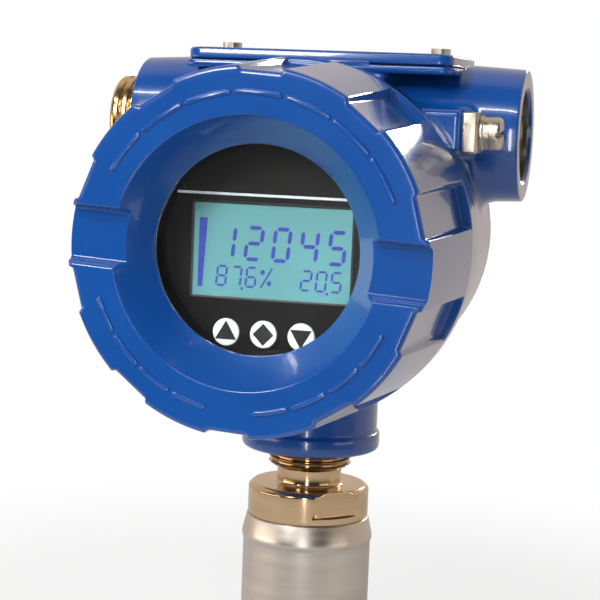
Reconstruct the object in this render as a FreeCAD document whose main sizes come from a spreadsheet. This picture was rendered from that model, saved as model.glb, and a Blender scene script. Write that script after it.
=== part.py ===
"""Field-mounted pressure transmitter with a display, as a parametric FreeCAD document.

Frame: millimetres, origin at the mouth of the process port, +Z up the neck, the display faces -Y and
the conduit hubs run along X. Every size is a cell of the Sizes sheet, and the objects are bound to it.
"""
import math
import os

import FreeCAD
import Part
import Sketcher

SIZES = {
    # sensor body and the fitting welded on it, along the neck axis
    "sensor_body_height": 40.2,
    "sensor_body_radius": 18.55,
    "sensor_band_radius": 18.95,
    "sensor_band_height": 1.6,
    "sensor_band_drop": 5.2,
    "sensor_top_radius": 17.7,
    "sensor_foot_chamfer": 1.2,
    "port_radius": 9.2,
    "port_depth": 17.0,
    "diaphragm_radius": 8.6,
    "diaphragm_thickness": 0.6,
    "diaphragm_recess": 0.8,
    "lip_height": 2.1,
    "collar_radius": 17.5,
    "collar_height": 7.2,
    "collar_chamfer": 1.0,
    "collar_across_flats": 31.6,
    "collar_flat_turn": 45.0,
    "undercut_radius": 9.3,
    "undercut_height": 5.4,
    "neck_thread_radius": 11.95,
    "neck_thread_shown": 5.2,
    "neck_thread_length": 14.0,
    "running_clearance": 0.06,
    "cut_overrun": 1.0,
    "seal_ring_radius": 1.0,
    "header_radius": 6.0,
    "header_height": 2.4,
    "header_pin_radius": 0.5,
    "header_pin_height": 3.0,
    "header_pin_circle": 3.4,
    "header_pin_count": 4,
    # housing casting
    "cover_axis_height": 122.0,
    "front_face_reach": 24.3,
    "front_flange_stand": 2.0,
    "front_flange_length": 5.0,
    "barrel_front_radius": 46.8,
    "barrel_rear_radius": 45.0,
    "rear_face_reach": 34.0,
    "rear_flange_inset": 1.6,
    "rear_flange_length": 4.5,
    "front_spigot_radius": 42.4,
    "front_spigot_length": 20.0,
    "front_spigot_chamfer": 0.6,
    "front_bore_radius": 38.0,
    "bulkhead_front_reach": 13.0,
    "bulkhead_thickness": 5.5,
    "rear_spigot_radius": 37.4,
    "rear_spigot_length": 13.0,
    "rear_bore_radius": 33.6,
    "neck_radius": 19.1,
    "bead_radius": 19.95,
    "bead_height": 5.2,
    "bead_rounding": 1.6,
    "neck_bore_roof": 3.0,
    "wire_way_radius": 3.5,
    "wire_way_lean": 40.0,
    "hub_set_back": 12.5,
    "hub_lift": 30.1,
    "hub_reach": 56.3,
    "hub_end_radius": 18.6,
    "hub_root_radius": 19.9,
    "hub_root_reach": 30.0,
    "conduit_bore_radius": 12.3,
    "plug_bore_radius": 11.8,
    "conduit_mouth_radius": 13.9,
    "conduit_mouth_depth": 1.8,
    "conduit_bore_end": 20.0,
    "table_half_length": 38.6,
    "table_front_reach": 11.5,
    "table_rear_reach": 34.0,
    "table_top_height": 48.3,
    "table_depth": 14.0,
    "table_undercut_height": 3.0,
    "table_undercut_depth": 1.6,
    "groove_depth": 2.2,
    "groove_width": 2.2,
    "groove_set_in": 2.2,
    # front cover
    "seam_gap": 0.3,
    "cover_length": 53.5,
    "cover_front_radius": 46.0,
    "cover_rim_radius": 49.2,
    "cover_rim_length": 7.6,
    "cover_front_rounding": 1.3,
    "notch_count": 10,
    "notch_floor_radius": 44.7,
    "notch_width": 10.6,
    "notch_wall_slope": 3.0,
    "slot_width": 12.0,
    "slot_depth": 3.6,
    "slot_wall_slope": 1.7,
    "cover_turn": 3.5,
    "ring_inner_radius": 34.0,
    "step_radius": 31.6,
    "step_depth": 3.6,
    "window_radius": 26.6,
    "window_depth": 11.0,
    "window_lip": 1.5,
    "window_glass_radius": 34.5,
    "window_glass_thickness": 6.0,
    "glass_edge_gap": 0.25,
    "gasket_inner_radius": 31.2,
    "gasket_thickness": 1.0,
    "retainer_radius": 38.0,
    "retainer_inner_radius": 30.9,
    "retainer_thickness": 3.2,
    # rear cover
    "rear_cover_length": 19.5,
    "rear_cover_rim_radius": 42.4,
    "rear_cover_end_radius": 40.6,
    "rear_cover_rim_length": 4.0,
    "rear_cover_wall": 5.0,
    "rear_cover_rounding": 1.5,
    "rear_notch_floor_radius": 39.4,
    # display and electronics on the front side
    "face_radius": 33.0,
    "face_thickness": 1.2,
    "face_setback": 5.1,
    "lcd_width": 41.8,
    "lcd_height": 24.0,
    "lcd_thickness": 1.0,
    "lcd_shift": 1.3,
    "lcd_drop": 1.2,
    "display_case_radius": 31.0,
    "display_case_height": 8.4,
    "board_radius": 31.0,
    "board_thickness": 1.6,
    "module_radius": 30.0,
    "module_height": 19.0,
    "module_chamfer": 1.5,
    "pillar_radius": 2.5,
    "pillar_circle": 25.0,
    "pillar_count": 4,
    "key_radius": 3.55,
    "key_stand_out": 0.5,
    "key_travel": 0.8,
    "key_hole_gap": 0.12,
    "key_skirt_height": 1.4,
    "key_skirt_radius": 4.2,
    "key_spacing": 10.0,
    "key_drop": 22.4,
    # terminal side
    "terminal_block_radius": 28.0,
    "terminal_block_height": 6.0,
    "terminal_spacing": 12.0,
    "terminal_well_width": 9.0,
    "terminal_well_height": 13.0,
    "terminal_well_depth": 3.2,
    "terminal_screw_radius": 3.4,
    "terminal_screw_height": 2.6,
    "terminal_screw_shank": 1.8,
    "terminal_screw_slot": 0.9,
    # conduit plug
    "plug_head_radius": 12.9,
    "plug_head_length": 8.6,
    "plug_groove_depth": 0.9,
    "plug_groove_length": 1.2,
    "plug_chamfer": 1.0,
    "plug_thread_length": 14.0,
    "plug_slot_width": 3.0,
    "plug_slot_depth": 3.0,
    "plug_seat_gap": 0.1,
    # ground terminal
    "ground_set_forward": 17.9,
    "ground_lift": 30.9,
    "ground_boss_inset": 3.3,
    "ground_boss_half": 6.0,
    "ground_boss_back": 12.0,
    "ground_boss_root": 30.0,
    "clamp_thickness": 4.3,
    "clamp_depth": 12.4,
    "clamp_height": 11.0,
    "clamp_rounding": 0.6,
    "washer_radius": 4.7,
    "washer_thickness": 1.1,
    "split_washer_radius": 4.3,
    "split_washer_thickness": 1.5,
    "split_gap": 1.0,
    "ground_screw_radius": 2.5,
    "ground_hole_gap": 0.06,
    "ground_head_radius": 4.4,
    "ground_head_height": 3.3,
    "ground_head_chamfer": 0.5,
    "ground_slot_width": 1.2,
    "ground_slot_depth": 1.4,
    "ground_thread_depth": 7.0,
    # top plate
    "plate_half_length": 38.0,
    "plate_front_reach": 10.6,
    "plate_rear_reach": 33.0,
    "plate_thickness": 2.9,
    "plate_crown": 0.9,
    "plate_corner": 4.0,
    "pad_thickness": 0.4,
    "pad_inset": 1.2,
    "plate_screw_reach": 31.0,
    "plate_screw_radius": 1.5,
    "plate_screw_head": 2.8,
    "plate_screw_rise": 1.7,
    "plate_screw_depth": 6.0,
    "plate_hole_gap": 0.3,
    # neck set screw
    "set_screw_radius": 2.0,
    "set_screw_lift": 5.9,
    "set_screw_tip_gap": 0.1,
    "set_screw_recess": 0.6,
    "set_screw_socket": 1.0,
}


class Size:
    """A length that carries both its value and its formula in terms of the Sizes sheet."""

    def __init__(self, value, formula):
        self.value = float(value)
        self.formula = formula

    def joined(self, other, sign, value):
        return Size(value, "(%s %s %s)" % (self.formula, sign, size_of(other).formula))

    def __add__(self, other):
        return self.joined(other, "+", self.value + size_of(other).value)

    def __sub__(self, other):
        return self.joined(other, "-", self.value - size_of(other).value)

    def __mul__(self, other):
        return self.joined(other, "*", self.value * size_of(other).value)

    def __truediv__(self, other):
        return self.joined(other, "/", self.value / size_of(other).value)

    def __neg__(self):
        return self * -1

    def __radd__(self, other):
        return size_of(other) + self

    def __rsub__(self, other):
        return size_of(other) - self

    def __rmul__(self, other):
        return size_of(other) * self


def size_of(thing):
    """A Size as it is, or a plain number made into one."""
    return thing if isinstance(thing, Size) else Size(thing, "(%r)" % thing)


doc = FreeCAD.newDocument("pressure_transmitter")
sheet = doc.addObject("Spreadsheet::Sheet", "Sizes")
for row, (alias, number) in enumerate(SIZES.items(), start=1):
    sheet.set("A%d" % row, alias)
    sheet.set("B%d" % row, str(number))
    sheet.setAlias("B%d" % row, alias)
doc.recompute()
s = {alias: Size(number, "Sizes." + alias) for alias, number in SIZES.items()}

ORIGIN = (0, 0, 0)
UPRIGHT = FreeCAD.Rotation()
TO_FRONT = FreeCAD.Rotation(FreeCAD.Vector(1, 0, 0), 90)
TO_REAR = FreeCAD.Rotation(FreeCAD.Vector(1, 0, 0), -90)
TO_RIGHT = FreeCAD.Rotation(FreeCAD.Vector(0, 1, 0), 90)
TO_LEFT = FreeCAD.Rotation(FreeCAD.Vector(0, 1, 0), -90)
ARC_CORNER = 1 - math.cos(math.radians(45))
TOUCH = 0.01
nodes = []


# ---------------------------------------------------------------- helpers

def bind(thing, path, value):
    """Tie a property to its formula in the sheet."""
    thing.setExpression(path, size_of(value).formula)


def place(thing, at, turn=UPRIGHT):
    """Put an object at a point made of sizes, its own Z axis turned as asked."""
    thing.Placement = FreeCAD.Placement(FreeCAD.Vector(*[size_of(c).value for c in at]), turn)
    for letter, value in zip("xyz", at):
        bind(thing, "Placement.Base." + letter, value)


def new_body(name, at=ORIGIN, turn=UPRIGHT):
    """A PartDesign body that becomes one node."""
    body = doc.addObject("PartDesign::Body", name)
    body.Label = name
    place(body, at, turn)
    nodes.append((name, body))
    return body


def plane_of(body, role):
    return next(item for item in body.Origin.OriginFeatures if item.Role == role)


def new_sketch(body, role, offset=0):
    """An empty sketch on one of the body's own planes, moved off it by a size."""
    sketch = body.newObject("Sketcher::SketchObject", body.Name + "_sketch")
    sketch.AttachmentSupport = [(plane_of(body, role), "")]
    sketch.MapMode = "FlatFace"
    bind(sketch, "AttachmentOffset.Base.z", offset)
    return sketch


def corner_bound(sketch, edge, point, corner):
    """Hold one corner of a sketch at its two sizes from the sketch's origin."""
    for kind, axis, value in (("DistanceX", -2, corner[0]), ("DistanceY", -1, corner[1])):
        size = size_of(value)
        if size.value == 0 and size.formula in ("(0)", "(0.0)"):
            sketch.addConstraint(Sketcher.Constraint("PointOnObject", edge, point, axis))
            continue
        index = sketch.addConstraint(Sketcher.Constraint(kind, -1, 1, edge, point, size.value))
        label = "%s_%d_%d" % (kind, edge, index)
        sketch.renameConstraint(index, label)
        sketch.setExpression("Constraints." + label, size.formula)


def polygon(sketch, corners):
    """A closed outline of straight lines whose corners are tied to the sheet."""
    points = [FreeCAD.Vector(size_of(x).value, size_of(y).value, 0) for x, y in corners]
    first = sketch.GeometryCount
    count = len(points)
    for index in range(count):
        sketch.addGeometry(Part.LineSegment(points[index], points[(index + 1) % count]), False)
    for index in range(count):
        sketch.addConstraint(Sketcher.Constraint(
            "Coincident", first + index, 2, first + (index + 1) % count, 1))
    for index, corner in enumerate(corners):
        corner_bound(sketch, first + index, 1, corner)
    return sketch


def circle(sketch, centre, radius):
    """A circle tied to the sheet by its centre and radius."""
    radius = size_of(radius)
    middle = FreeCAD.Vector(size_of(centre[0]).value, size_of(centre[1]).value, 0)
    edge = sketch.addGeometry(Part.Circle(middle, FreeCAD.Vector(0, 0, 1), radius.value), False)
    corner_bound(sketch, edge, 3, centre)
    index = sketch.addConstraint(Sketcher.Constraint("Radius", edge, radius.value))
    sketch.renameConstraint(index, "radius_%d" % edge)
    sketch.setExpression("Constraints.radius_%d" % edge, radius.formula)
    return sketch


def rectangle(sketch, low, high):
    return polygon(sketch, [(low[0], low[1]), (high[0], low[1]), (high[0], high[1]), (low[0], high[1])])


def feature(body, kind, sketch, label):
    made = body.newObject("PartDesign::" + kind, body.Name + "_" + label)
    made.Profile = sketch
    sketch.Visibility = False
    return made


def turned(body, corners, role="XZ_Plane", axis="V_Axis", kind="Revolution", label="turned"):
    """Turn an outline of (radius, height) corners about the sketch's axis: adds, or cuts as a Groove."""
    made = feature(body, kind, polygon(new_sketch(body, role), corners), label)
    made.ReferenceAxis = (made.Profile[0], [axis])
    made.Angle = 360
    return made


def extruded(body, sketch, length, label, kind="Pad", backwards=False, both=False):
    made = feature(body, kind, sketch, label)
    bind(made, "Length", length)
    made.Reversed = backwards
    made.Midplane = both
    return made


def repeated(body, first, count, turn_all=360):
    """Repeat a feature around the body's Z axis and make the pattern the body's tip."""
    pattern = body.newObject("PartDesign::PolarPattern", first.Name + "_ring")
    pattern.Originals = [first]
    pattern.Axis = (plane_of(body, "Z_Axis"), [""])
    pattern.Angle = turn_all
    bind(pattern, "Occurrences", count)
    body.Tip = pattern
    return pattern


def round_edges(body, radius, chosen, kind="Fillet", label="rounded"):
    """Fillet or chamfer the edges of the body so far that a test picks."""
    doc.recompute()
    tip = body.Tip
    names = ["Edge%d" % number for number, edge in enumerate(tip.Shape.Edges, start=1) if chosen(edge)]
    made = body.newObject("PartDesign::" + kind, body.Name + "_" + label)
    made.Base = (tip, names)
    bind(made, "Radius" if kind == "Fillet" else "Size", radius)
    return made


def ring_piece(name, inner, outer, low, high, at, turn):
    """A plain flat ring from inner to outer radius, between two heights."""
    body = new_body(name, at, turn)
    turned(body, [(inner, low), (outer, low), (outer, high), (inner, high)])
    return body


def seal_ring(name, radius, section, at, turn):
    """An O-ring as an eight-sided section turned about the axis."""
    short = section * math.tan(math.radians(22.5))
    body = new_body(name, at, turn)
    turned(body, [
        (radius - short, -section),
        (radius + short, -section),
        (radius + section, -short),
        (radius + section, short),
        (radius + short, section),
        (radius - short, section),
        (radius - section, short),
        (radius - section, -short),
    ])
    return body


# ---------------------------------------------------------------- shared places

axis_height = s["cover_axis_height"]
front_seam = (0, -s["front_face_reach"], axis_height)
rear_seam = (0, s["rear_face_reach"], axis_height)
lip_base = s["sensor_body_height"]
collar_base = lip_base + s["lip_height"]
collar_top = collar_base + s["collar_height"]
neck_end = collar_top + s["undercut_height"] + s["neck_thread_shown"]
fitting_top = neck_end + s["neck_thread_length"]
neck_bore_radius = s["neck_thread_radius"] + s["running_clearance"]
neck_bore_top = fitting_top + s["neck_bore_roof"] + s["header_height"] + s["header_pin_height"]
hub_height = axis_height + s["hub_lift"]
table_top = axis_height + s["table_top_height"]
cover_front = s["cover_length"]
glass_front = cover_front - s["window_depth"] - s["window_lip"]
glass_back = glass_front - s["window_glass_thickness"]
gasket_back = glass_back - s["gasket_thickness"]
retainer_back = gasket_back - s["retainer_thickness"]
face_front = glass_back - s["face_setback"]
face_back = face_front - s["face_thickness"]
case_back = face_back - s["display_case_height"]
board_back = case_back - s["board_thickness"]
bulkhead_front = s["front_face_reach"] - s["bulkhead_front_reach"]
module_front = s["module_height"] - bulkhead_front
bulkhead_rear = s["bulkhead_front_reach"] - s["bulkhead_thickness"]
cover_bore_radius = s["front_spigot_radius"] + s["running_clearance"]
rear_bore_radius = s["rear_spigot_radius"] + s["running_clearance"]
front_flange_radius = s["barrel_front_radius"] + s["front_flange_stand"]
rear_flange_radius = s["barrel_rear_radius"] - s["rear_flange_inset"]
ground_boss_reach = s["barrel_front_radius"] - s["ground_boss_inset"]
set_screw_height = neck_end + s["set_screw_lift"]
ground_axis = (ground_boss_reach, -s["ground_set_forward"], axis_height + s["ground_lift"])
plate_base = table_top + s["pad_thickness"]
plate_middle = (s["plate_rear_reach"] - s["plate_front_reach"]) / 2


# ---------------------------------------------------------------- sensor side (stays on the pipe)

def make_sensor_body():
    """Turned steel body with the process port in its foot and a raised band under the lip."""
    body = new_body("sensor_body")
    top = s["sensor_body_height"]
    band = top - s["sensor_band_drop"]
    turned(body, [
        (0, s["port_depth"] + s["diaphragm_recess"]),
        (s["diaphragm_radius"], s["port_depth"] + s["diaphragm_recess"]),
        (s["diaphragm_radius"], s["port_depth"]),
        (s["port_radius"], s["port_depth"]),
        (s["port_radius"], 0),
        (s["sensor_body_radius"] - s["sensor_foot_chamfer"], 0),
        (s["sensor_body_radius"], s["sensor_foot_chamfer"]),
        (s["sensor_body_radius"], band - s["sensor_band_height"]),
        (s["sensor_band_radius"], band - s["sensor_band_height"] + s["sensor_band_radius"]
         - s["sensor_body_radius"]),
        (s["sensor_band_radius"], band),
        (s["sensor_top_radius"], top),
        (0, top),
    ])


def make_diaphragm():
    """Thin isolating diaphragm in the recess at the inner end of the process port."""
    body = new_body("process_diaphragm")
    high = s["port_depth"] + s["diaphragm_recess"]
    low = high - s["diaphragm_thickness"]
    turned(body, [(0, low), (s["diaphragm_radius"], low), (s["diaphragm_radius"], high), (0, high)])


def make_neck_fitting():
    """Lip, collar with two spanner flats, undercut and neck thread, turned in one piece."""
    body = new_body("neck_fitting")
    thread_base = collar_top + s["undercut_height"]
    groove_high = fitting_top - s["groove_set_in"]
    groove_low = groove_high - s["groove_width"]
    groove_floor = s["neck_thread_radius"] - s["groove_depth"] + s["running_clearance"]
    turned(body, [
        (0, lip_base),
        (s["collar_radius"], lip_base),
        (s["collar_radius"], collar_top - s["collar_chamfer"]),
        (s["collar_radius"] - s["collar_chamfer"], collar_top),
        (s["undercut_radius"], collar_top),
        (s["undercut_radius"], thread_base),
        (s["neck_thread_radius"], thread_base),
        (s["neck_thread_radius"], groove_low),
        (groove_floor, groove_low),
        (groove_floor, groove_high),
        (s["neck_thread_radius"], groove_high),
        (s["neck_thread_radius"], fitting_top),
        (0, fitting_top),
    ])
    flat = s["collar_across_flats"] / 2
    reach = s["collar_radius"] + s["cut_overrun"]
    sketch = new_sketch(body, "XY_Plane", collar_base)
    rectangle(sketch, (flat, -reach), (reach, reach))
    bind(sketch, "AttachmentOffset.Rotation.Angle", -s["collar_flat_turn"])
    first = extruded(body, sketch, s["collar_height"] + s["cut_overrun"], "flat", "Pocket", backwards=True)
    repeated(body, first, 2)


def make_sensor_header():
    """Sealed pin header on top of the fitting, from which the leads go up to the electronics."""
    body = new_body("sensor_header", (0, 0, fitting_top))
    turned(body, [(0, 0), (s["header_radius"], 0), (s["header_radius"], s["header_height"]),
                  (0, s["header_height"])])
    sketch = circle(new_sketch(body, "XY_Plane", s["header_height"]), (s["header_pin_circle"], 0),
                    s["header_pin_radius"])
    repeated(body, extruded(body, sketch, s["header_pin_height"], "pin"), s["header_pin_count"])


# ---------------------------------------------------------------- housing casting

def make_housing():
    """One casting: barrel with two spigots, neck with its bead, two conduit hubs, table and boss."""
    body = new_body("housing", (0, 0, axis_height))
    front = s["front_face_reach"]
    rear = s["rear_face_reach"]
    flange_step = s["front_flange_stand"]
    # the sketch's X runs along the cover axis towards the rear, its Y is the radius
    turned(body, [
        (-front - s["front_spigot_length"], 0),
        (-front - s["front_spigot_length"], s["front_spigot_radius"] - s["front_spigot_chamfer"]),
        (-front - s["front_spigot_length"] + s["front_spigot_chamfer"], s["front_spigot_radius"]),
        (-front, s["front_spigot_radius"]),
        (-front, front_flange_radius),
        (-front + s["front_flange_length"], front_flange_radius),
        (-front + s["front_flange_length"] + flange_step, s["barrel_front_radius"]),
        (rear - s["rear_flange_length"], s["barrel_rear_radius"]),
        (rear, rear_flange_radius),
        (rear, s["rear_spigot_radius"]),
        (rear + s["rear_spigot_length"], s["rear_spigot_radius"]),
        (rear + s["rear_spigot_length"], 0),
    ], role="YZ_Plane", axis="H_Axis", label="barrel")
    neck_base = neck_end - axis_height
    turned(body, [
        (0, neck_base),
        (s["bead_radius"] - s["bead_rounding"], neck_base),
        (s["bead_radius"], neck_base + s["bead_rounding"]),
        (s["bead_radius"], neck_base + s["bead_height"] - s["bead_rounding"] / 2),
        (s["neck_radius"], neck_base + s["bead_height"]),
        (s["neck_radius"], -s["front_bore_radius"]),
        (0, -s["front_bore_radius"]),
    ], label="neck")
    lift = s["hub_lift"]
    hubs = polygon(new_sketch(body, "XZ_Plane", -s["hub_set_back"]), [
        (-s["hub_reach"], lift),
        (-s["hub_reach"], lift + s["hub_end_radius"]),
        (-s["hub_root_reach"], lift + s["hub_root_radius"]),
        (s["hub_root_reach"], lift + s["hub_root_radius"]),
        (s["hub_reach"], lift + s["hub_end_radius"]),
        (s["hub_reach"], lift),
    ])
    made = feature(body, "Revolution", hubs, "hubs")
    made.ReferenceAxis = (hubs, ["Edge6"])
    made.Angle = 360
    low = s["table_top_height"] - s["table_depth"]
    table = rectangle(new_sketch(body, "XZ_Plane", -s["table_rear_reach"]),
                      (-s["table_half_length"], low + s["table_depth"] - s["table_undercut_height"]),
                      (s["table_half_length"], s["table_top_height"]))
    extruded(body, table, s["table_rear_reach"] + s["table_front_reach"], "table")
    inset = s["table_undercut_depth"]
    web = polygon(new_sketch(body, "XZ_Plane", -s["table_rear_reach"] + inset), [
        (-s["hub_root_reach"], low),
        (s["hub_root_reach"], low),
        (s["table_half_length"] - inset, s["table_top_height"] - s["table_undercut_height"]),
        (-s["table_half_length"] + inset, s["table_top_height"] - s["table_undercut_height"]),
    ])
    extruded(body, web, s["table_rear_reach"] + s["table_front_reach"] - inset * 2, "web")
    boss = rectangle(new_sketch(body, "YZ_Plane", s["ground_boss_root"]),
                     (-s["ground_set_forward"] - s["ground_boss_half"],
                      s["ground_lift"] - s["ground_boss_half"]),
                     (-s["ground_set_forward"] + s["ground_boss_back"],
                      s["ground_lift"] + s["ground_boss_half"]))
    extruded(body, boss, ground_boss_reach - s["ground_boss_root"], "boss")
    over = s["cut_overrun"]
    flat_top = rectangle(new_sketch(body, "XZ_Plane", front + over),
                         (-s["table_half_length"], s["table_top_height"]),
                         (s["table_half_length"], front_flange_radius + s["hub_lift"]))
    extruded(body, flat_top, front + s["table_rear_reach"] + over * 2, "top_flat", "Pocket")
    # electronics side, terminal side, neck thread, wire way, conduit bores
    turned(body, [
        (-front - s["front_spigot_length"] - over, 0),
        (-front - s["front_spigot_length"] - over, s["front_bore_radius"]),
        (-s["bulkhead_front_reach"], s["front_bore_radius"]),
        (-s["bulkhead_front_reach"], 0),
    ], role="YZ_Plane", axis="H_Axis", kind="Groove", label="electronics_side")
    turned(body, [
        (-bulkhead_rear, 0),
        (-bulkhead_rear, s["rear_bore_radius"]),
        (rear + s["rear_spigot_length"] + over, s["rear_bore_radius"]),
        (rear + s["rear_spigot_length"] + over, 0),
    ], role="YZ_Plane", axis="H_Axis", kind="Groove", label="terminal_side")
    near = s["groove_set_in"]
    far = near + s["groove_width"]
    groove_floor = s["front_spigot_radius"] - s["groove_depth"]
    turned(body, [
        (-front - far, groove_floor),
        (-front - far, s["front_spigot_radius"] + over),
        (-front - near, s["front_spigot_radius"] + over),
        (-front - near, groove_floor),
    ], role="YZ_Plane", axis="H_Axis", kind="Groove", label="front_seal_groove")
    groove_floor = s["rear_spigot_radius"] - s["groove_depth"]
    turned(body, [
        (rear + near, groove_floor),
        (rear + near, s["rear_spigot_radius"] + over),
        (rear + far, s["rear_spigot_radius"] + over),
        (rear + far, groove_floor),
    ], role="YZ_Plane", axis="H_Axis", kind="Groove", label="rear_seal_groove")
    turned(body, [
        (0, neck_base - over),
        (neck_bore_radius, neck_base - over),
        (neck_bore_radius, neck_bore_top - axis_height),
        (0, neck_bore_top - axis_height),
    ], kind="Groove", label="neck_bore")
    way = circle(new_sketch(body, "XY_Plane"), (0, 0), s["wire_way_radius"])
    way.AttachmentOffset = FreeCAD.Placement(
        FreeCAD.Vector(0, 0, 0), FreeCAD.Rotation(FreeCAD.Vector(1, 0, 0), s["wire_way_lean"].value))
    bind(way, "AttachmentOffset.Rotation.Angle", s["wire_way_lean"])
    bind(way, "AttachmentOffset.Base.y", -s["neck_thread_radius"] / 2)
    bind(way, "AttachmentOffset.Base.z", neck_bore_top - axis_height - over)
    extruded(body, way, axis_height - neck_bore_top, "wire_way", "Pocket", backwards=True)
    bores = new_sketch(body, "XZ_Plane", -s["hub_set_back"])
    for side, bore in ((1, s["conduit_bore_radius"]), (-1, s["plug_bore_radius"])):
        polygon(bores, [
            (s["conduit_bore_end"] * side, lift),
            (s["conduit_bore_end"] * side, lift + bore),
            ((s["hub_reach"] - s["conduit_mouth_depth"]) * side, lift + bore),
            (s["hub_reach"] * side, lift + s["conduit_mouth_radius"]),
            ((s["hub_reach"] + over) * side, lift + s["conduit_mouth_radius"]),
            ((s["hub_reach"] + over) * side, lift),
        ])
    made = feature(body, "Groove", bores, "conduit_bores")
    made.ReferenceAxis = (bores, ["Edge6"])
    made.Angle = 360
    hole = circle(new_sketch(body, "YZ_Plane", ground_boss_reach),
                  (-s["ground_set_forward"], s["ground_lift"]),
                  s["ground_screw_radius"] + s["ground_hole_gap"])
    extruded(body, hole, s["ground_thread_depth"] + over / 2, "ground_hole", "Pocket")
    screws = new_sketch(body, "XY_Plane", s["table_top_height"])
    for side in (-1, 1):
        circle(screws, (s["plate_screw_reach"] * side, plate_middle), s["plate_screw_radius"])
    extruded(body, screws, s["plate_screw_depth"], "plate_holes", "Pocket")
    grub = circle(new_sketch(body, "XZ_Plane", -s["neck_radius"] - over),
                  (0, set_screw_height - axis_height), s["set_screw_radius"])
    extruded(body, grub, s["neck_radius"], "set_screw_hole", "Pocket", backwards=True)


# ---------------------------------------------------------------- covers

def make_front_cover():
    """Cast screw cover: drafted skirt, ten grip notches, tool slots across the ring, coned window."""
    turn = TO_FRONT.multiply(FreeCAD.Rotation(FreeCAD.Vector(0, 0, 1), -SIZES["cover_turn"]))
    body = new_body("front_cover", front_seam, turn)
    seam = s["seam_gap"]
    rounding = s["cover_front_rounding"]
    turned(body, [
        (cover_bore_radius, seam),
        (s["cover_rim_radius"], seam),
        (s["cover_rim_radius"], s["cover_rim_length"]),
        (s["cover_front_radius"], cover_front - rounding),
        (s["cover_front_radius"] - rounding * ARC_CORNER, cover_front - rounding * ARC_CORNER),
        (s["cover_front_radius"] - rounding, cover_front),
        (s["ring_inner_radius"], cover_front),
        (s["step_radius"], cover_front - s["step_depth"]),
        (s["window_radius"], cover_front - s["window_depth"]),
        (s["window_radius"], glass_front),
        (s["window_glass_radius"] + s["glass_edge_gap"], glass_front),
        (s["window_glass_radius"] + s["glass_edge_gap"], gasket_back),
        (s["retainer_radius"], gasket_back),
        (s["retainer_radius"], retainer_back),
        (cover_bore_radius, retainer_back),
    ])
    over = s["cut_overrun"]
    reach = s["cover_rim_radius"] + over
    half = s["notch_width"] / 2
    notch = polygon(new_sketch(body, "XY_Plane", cover_front + over), [
        (-half, s["notch_floor_radius"]),
        (half, s["notch_floor_radius"]),
        (half + s["notch_wall_slope"], reach),
        (-half - s["notch_wall_slope"], reach),
    ])
    first = extruded(body, notch, cover_front + over - s["cover_rim_length"], "notch", "Pocket")
    repeated(body, first, s["notch_count"])
    floor = cover_front - s["slot_depth"]
    half = s["slot_width"] / 2
    slot = polygon(new_sketch(body, "YZ_Plane"), [
        (-half, floor),
        (half, floor),
        (half + s["slot_wall_slope"] * 2, cover_front + s["slot_depth"]),
        (-half - s["slot_wall_slope"] * 2, cover_front + s["slot_depth"]),
    ])
    extruded(body, slot, reach * 2, "slot", "Pocket", both=True)


def make_rear_cover():
    """Blank screw cover of the terminal side, with the same grip notches."""
    body = new_body("rear_cover", rear_seam, TO_REAR)
    end = s["rear_cover_length"]
    inside = end - s["rear_cover_wall"]
    turned(body, [
        (0, inside),
        (rear_bore_radius, inside),
        (rear_bore_radius, s["seam_gap"]),
        (s["rear_cover_rim_radius"], s["seam_gap"]),
        (s["rear_cover_rim_radius"], s["rear_cover_rim_length"]),
        (s["rear_cover_end_radius"], end - s["rear_cover_rounding"]),
        (s["rear_cover_end_radius"] - s["rear_cover_rounding"], end),
        (0, end),
    ])
    half = s["notch_width"] / 2
    over = s["cut_overrun"]
    reach = s["rear_cover_rim_radius"] + over
    notch = polygon(new_sketch(body, "XY_Plane", end + over), [
        (-half, s["rear_notch_floor_radius"]),
        (half, s["rear_notch_floor_radius"]),
        (half + s["notch_wall_slope"], reach),
        (-half - s["notch_wall_slope"], reach),
    ])
    first = extruded(body, notch, end + over - s["rear_cover_rim_length"], "notch", "Pocket")
    repeated(body, first, s["notch_count"])


def make_window():
    """Window glass, its flat gasket and the threaded ring that holds both in the front cover."""
    glass = new_body("window_glass", front_seam, TO_FRONT)
    turned(glass, [(0, glass_back), (s["window_glass_radius"], glass_back),
                   (s["window_glass_radius"], glass_front), (0, glass_front)])
    ring_piece("window_gasket", s["gasket_inner_radius"], s["window_glass_radius"], gasket_back,
               glass_back, front_seam, TO_FRONT)
    ring_piece("window_retainer", s["retainer_inner_radius"], s["retainer_radius"], retainer_back,
               gasket_back, front_seam, TO_FRONT)


def make_seals():
    """O-rings of the two cover joints and of the neck joint."""
    section = s["seal_ring_radius"]
    inset = s["groove_set_in"] + s["groove_width"] / 2
    seal_ring("front_o_ring", s["front_spigot_radius"] - s["groove_depth"] + section, section,
              (0, -s["front_face_reach"] - inset, axis_height), TO_FRONT)
    seal_ring("rear_o_ring", s["rear_spigot_radius"] - s["groove_depth"] + section, section,
              (0, s["rear_face_reach"] + inset, axis_height), TO_REAR)
    seal_ring("neck_o_ring", s["neck_thread_radius"] - s["groove_depth"] + s["running_clearance"]
              + section, section, (0, 0, fitting_top - inset), UPRIGHT)


# ---------------------------------------------------------------- display and electronics

def key_places():
    """Centres of the three keys on the face plate, as (across, up) sizes."""
    return [(s["key_spacing"] * step, -s["key_drop"]) for step in (-1, 0, 1)]


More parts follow.
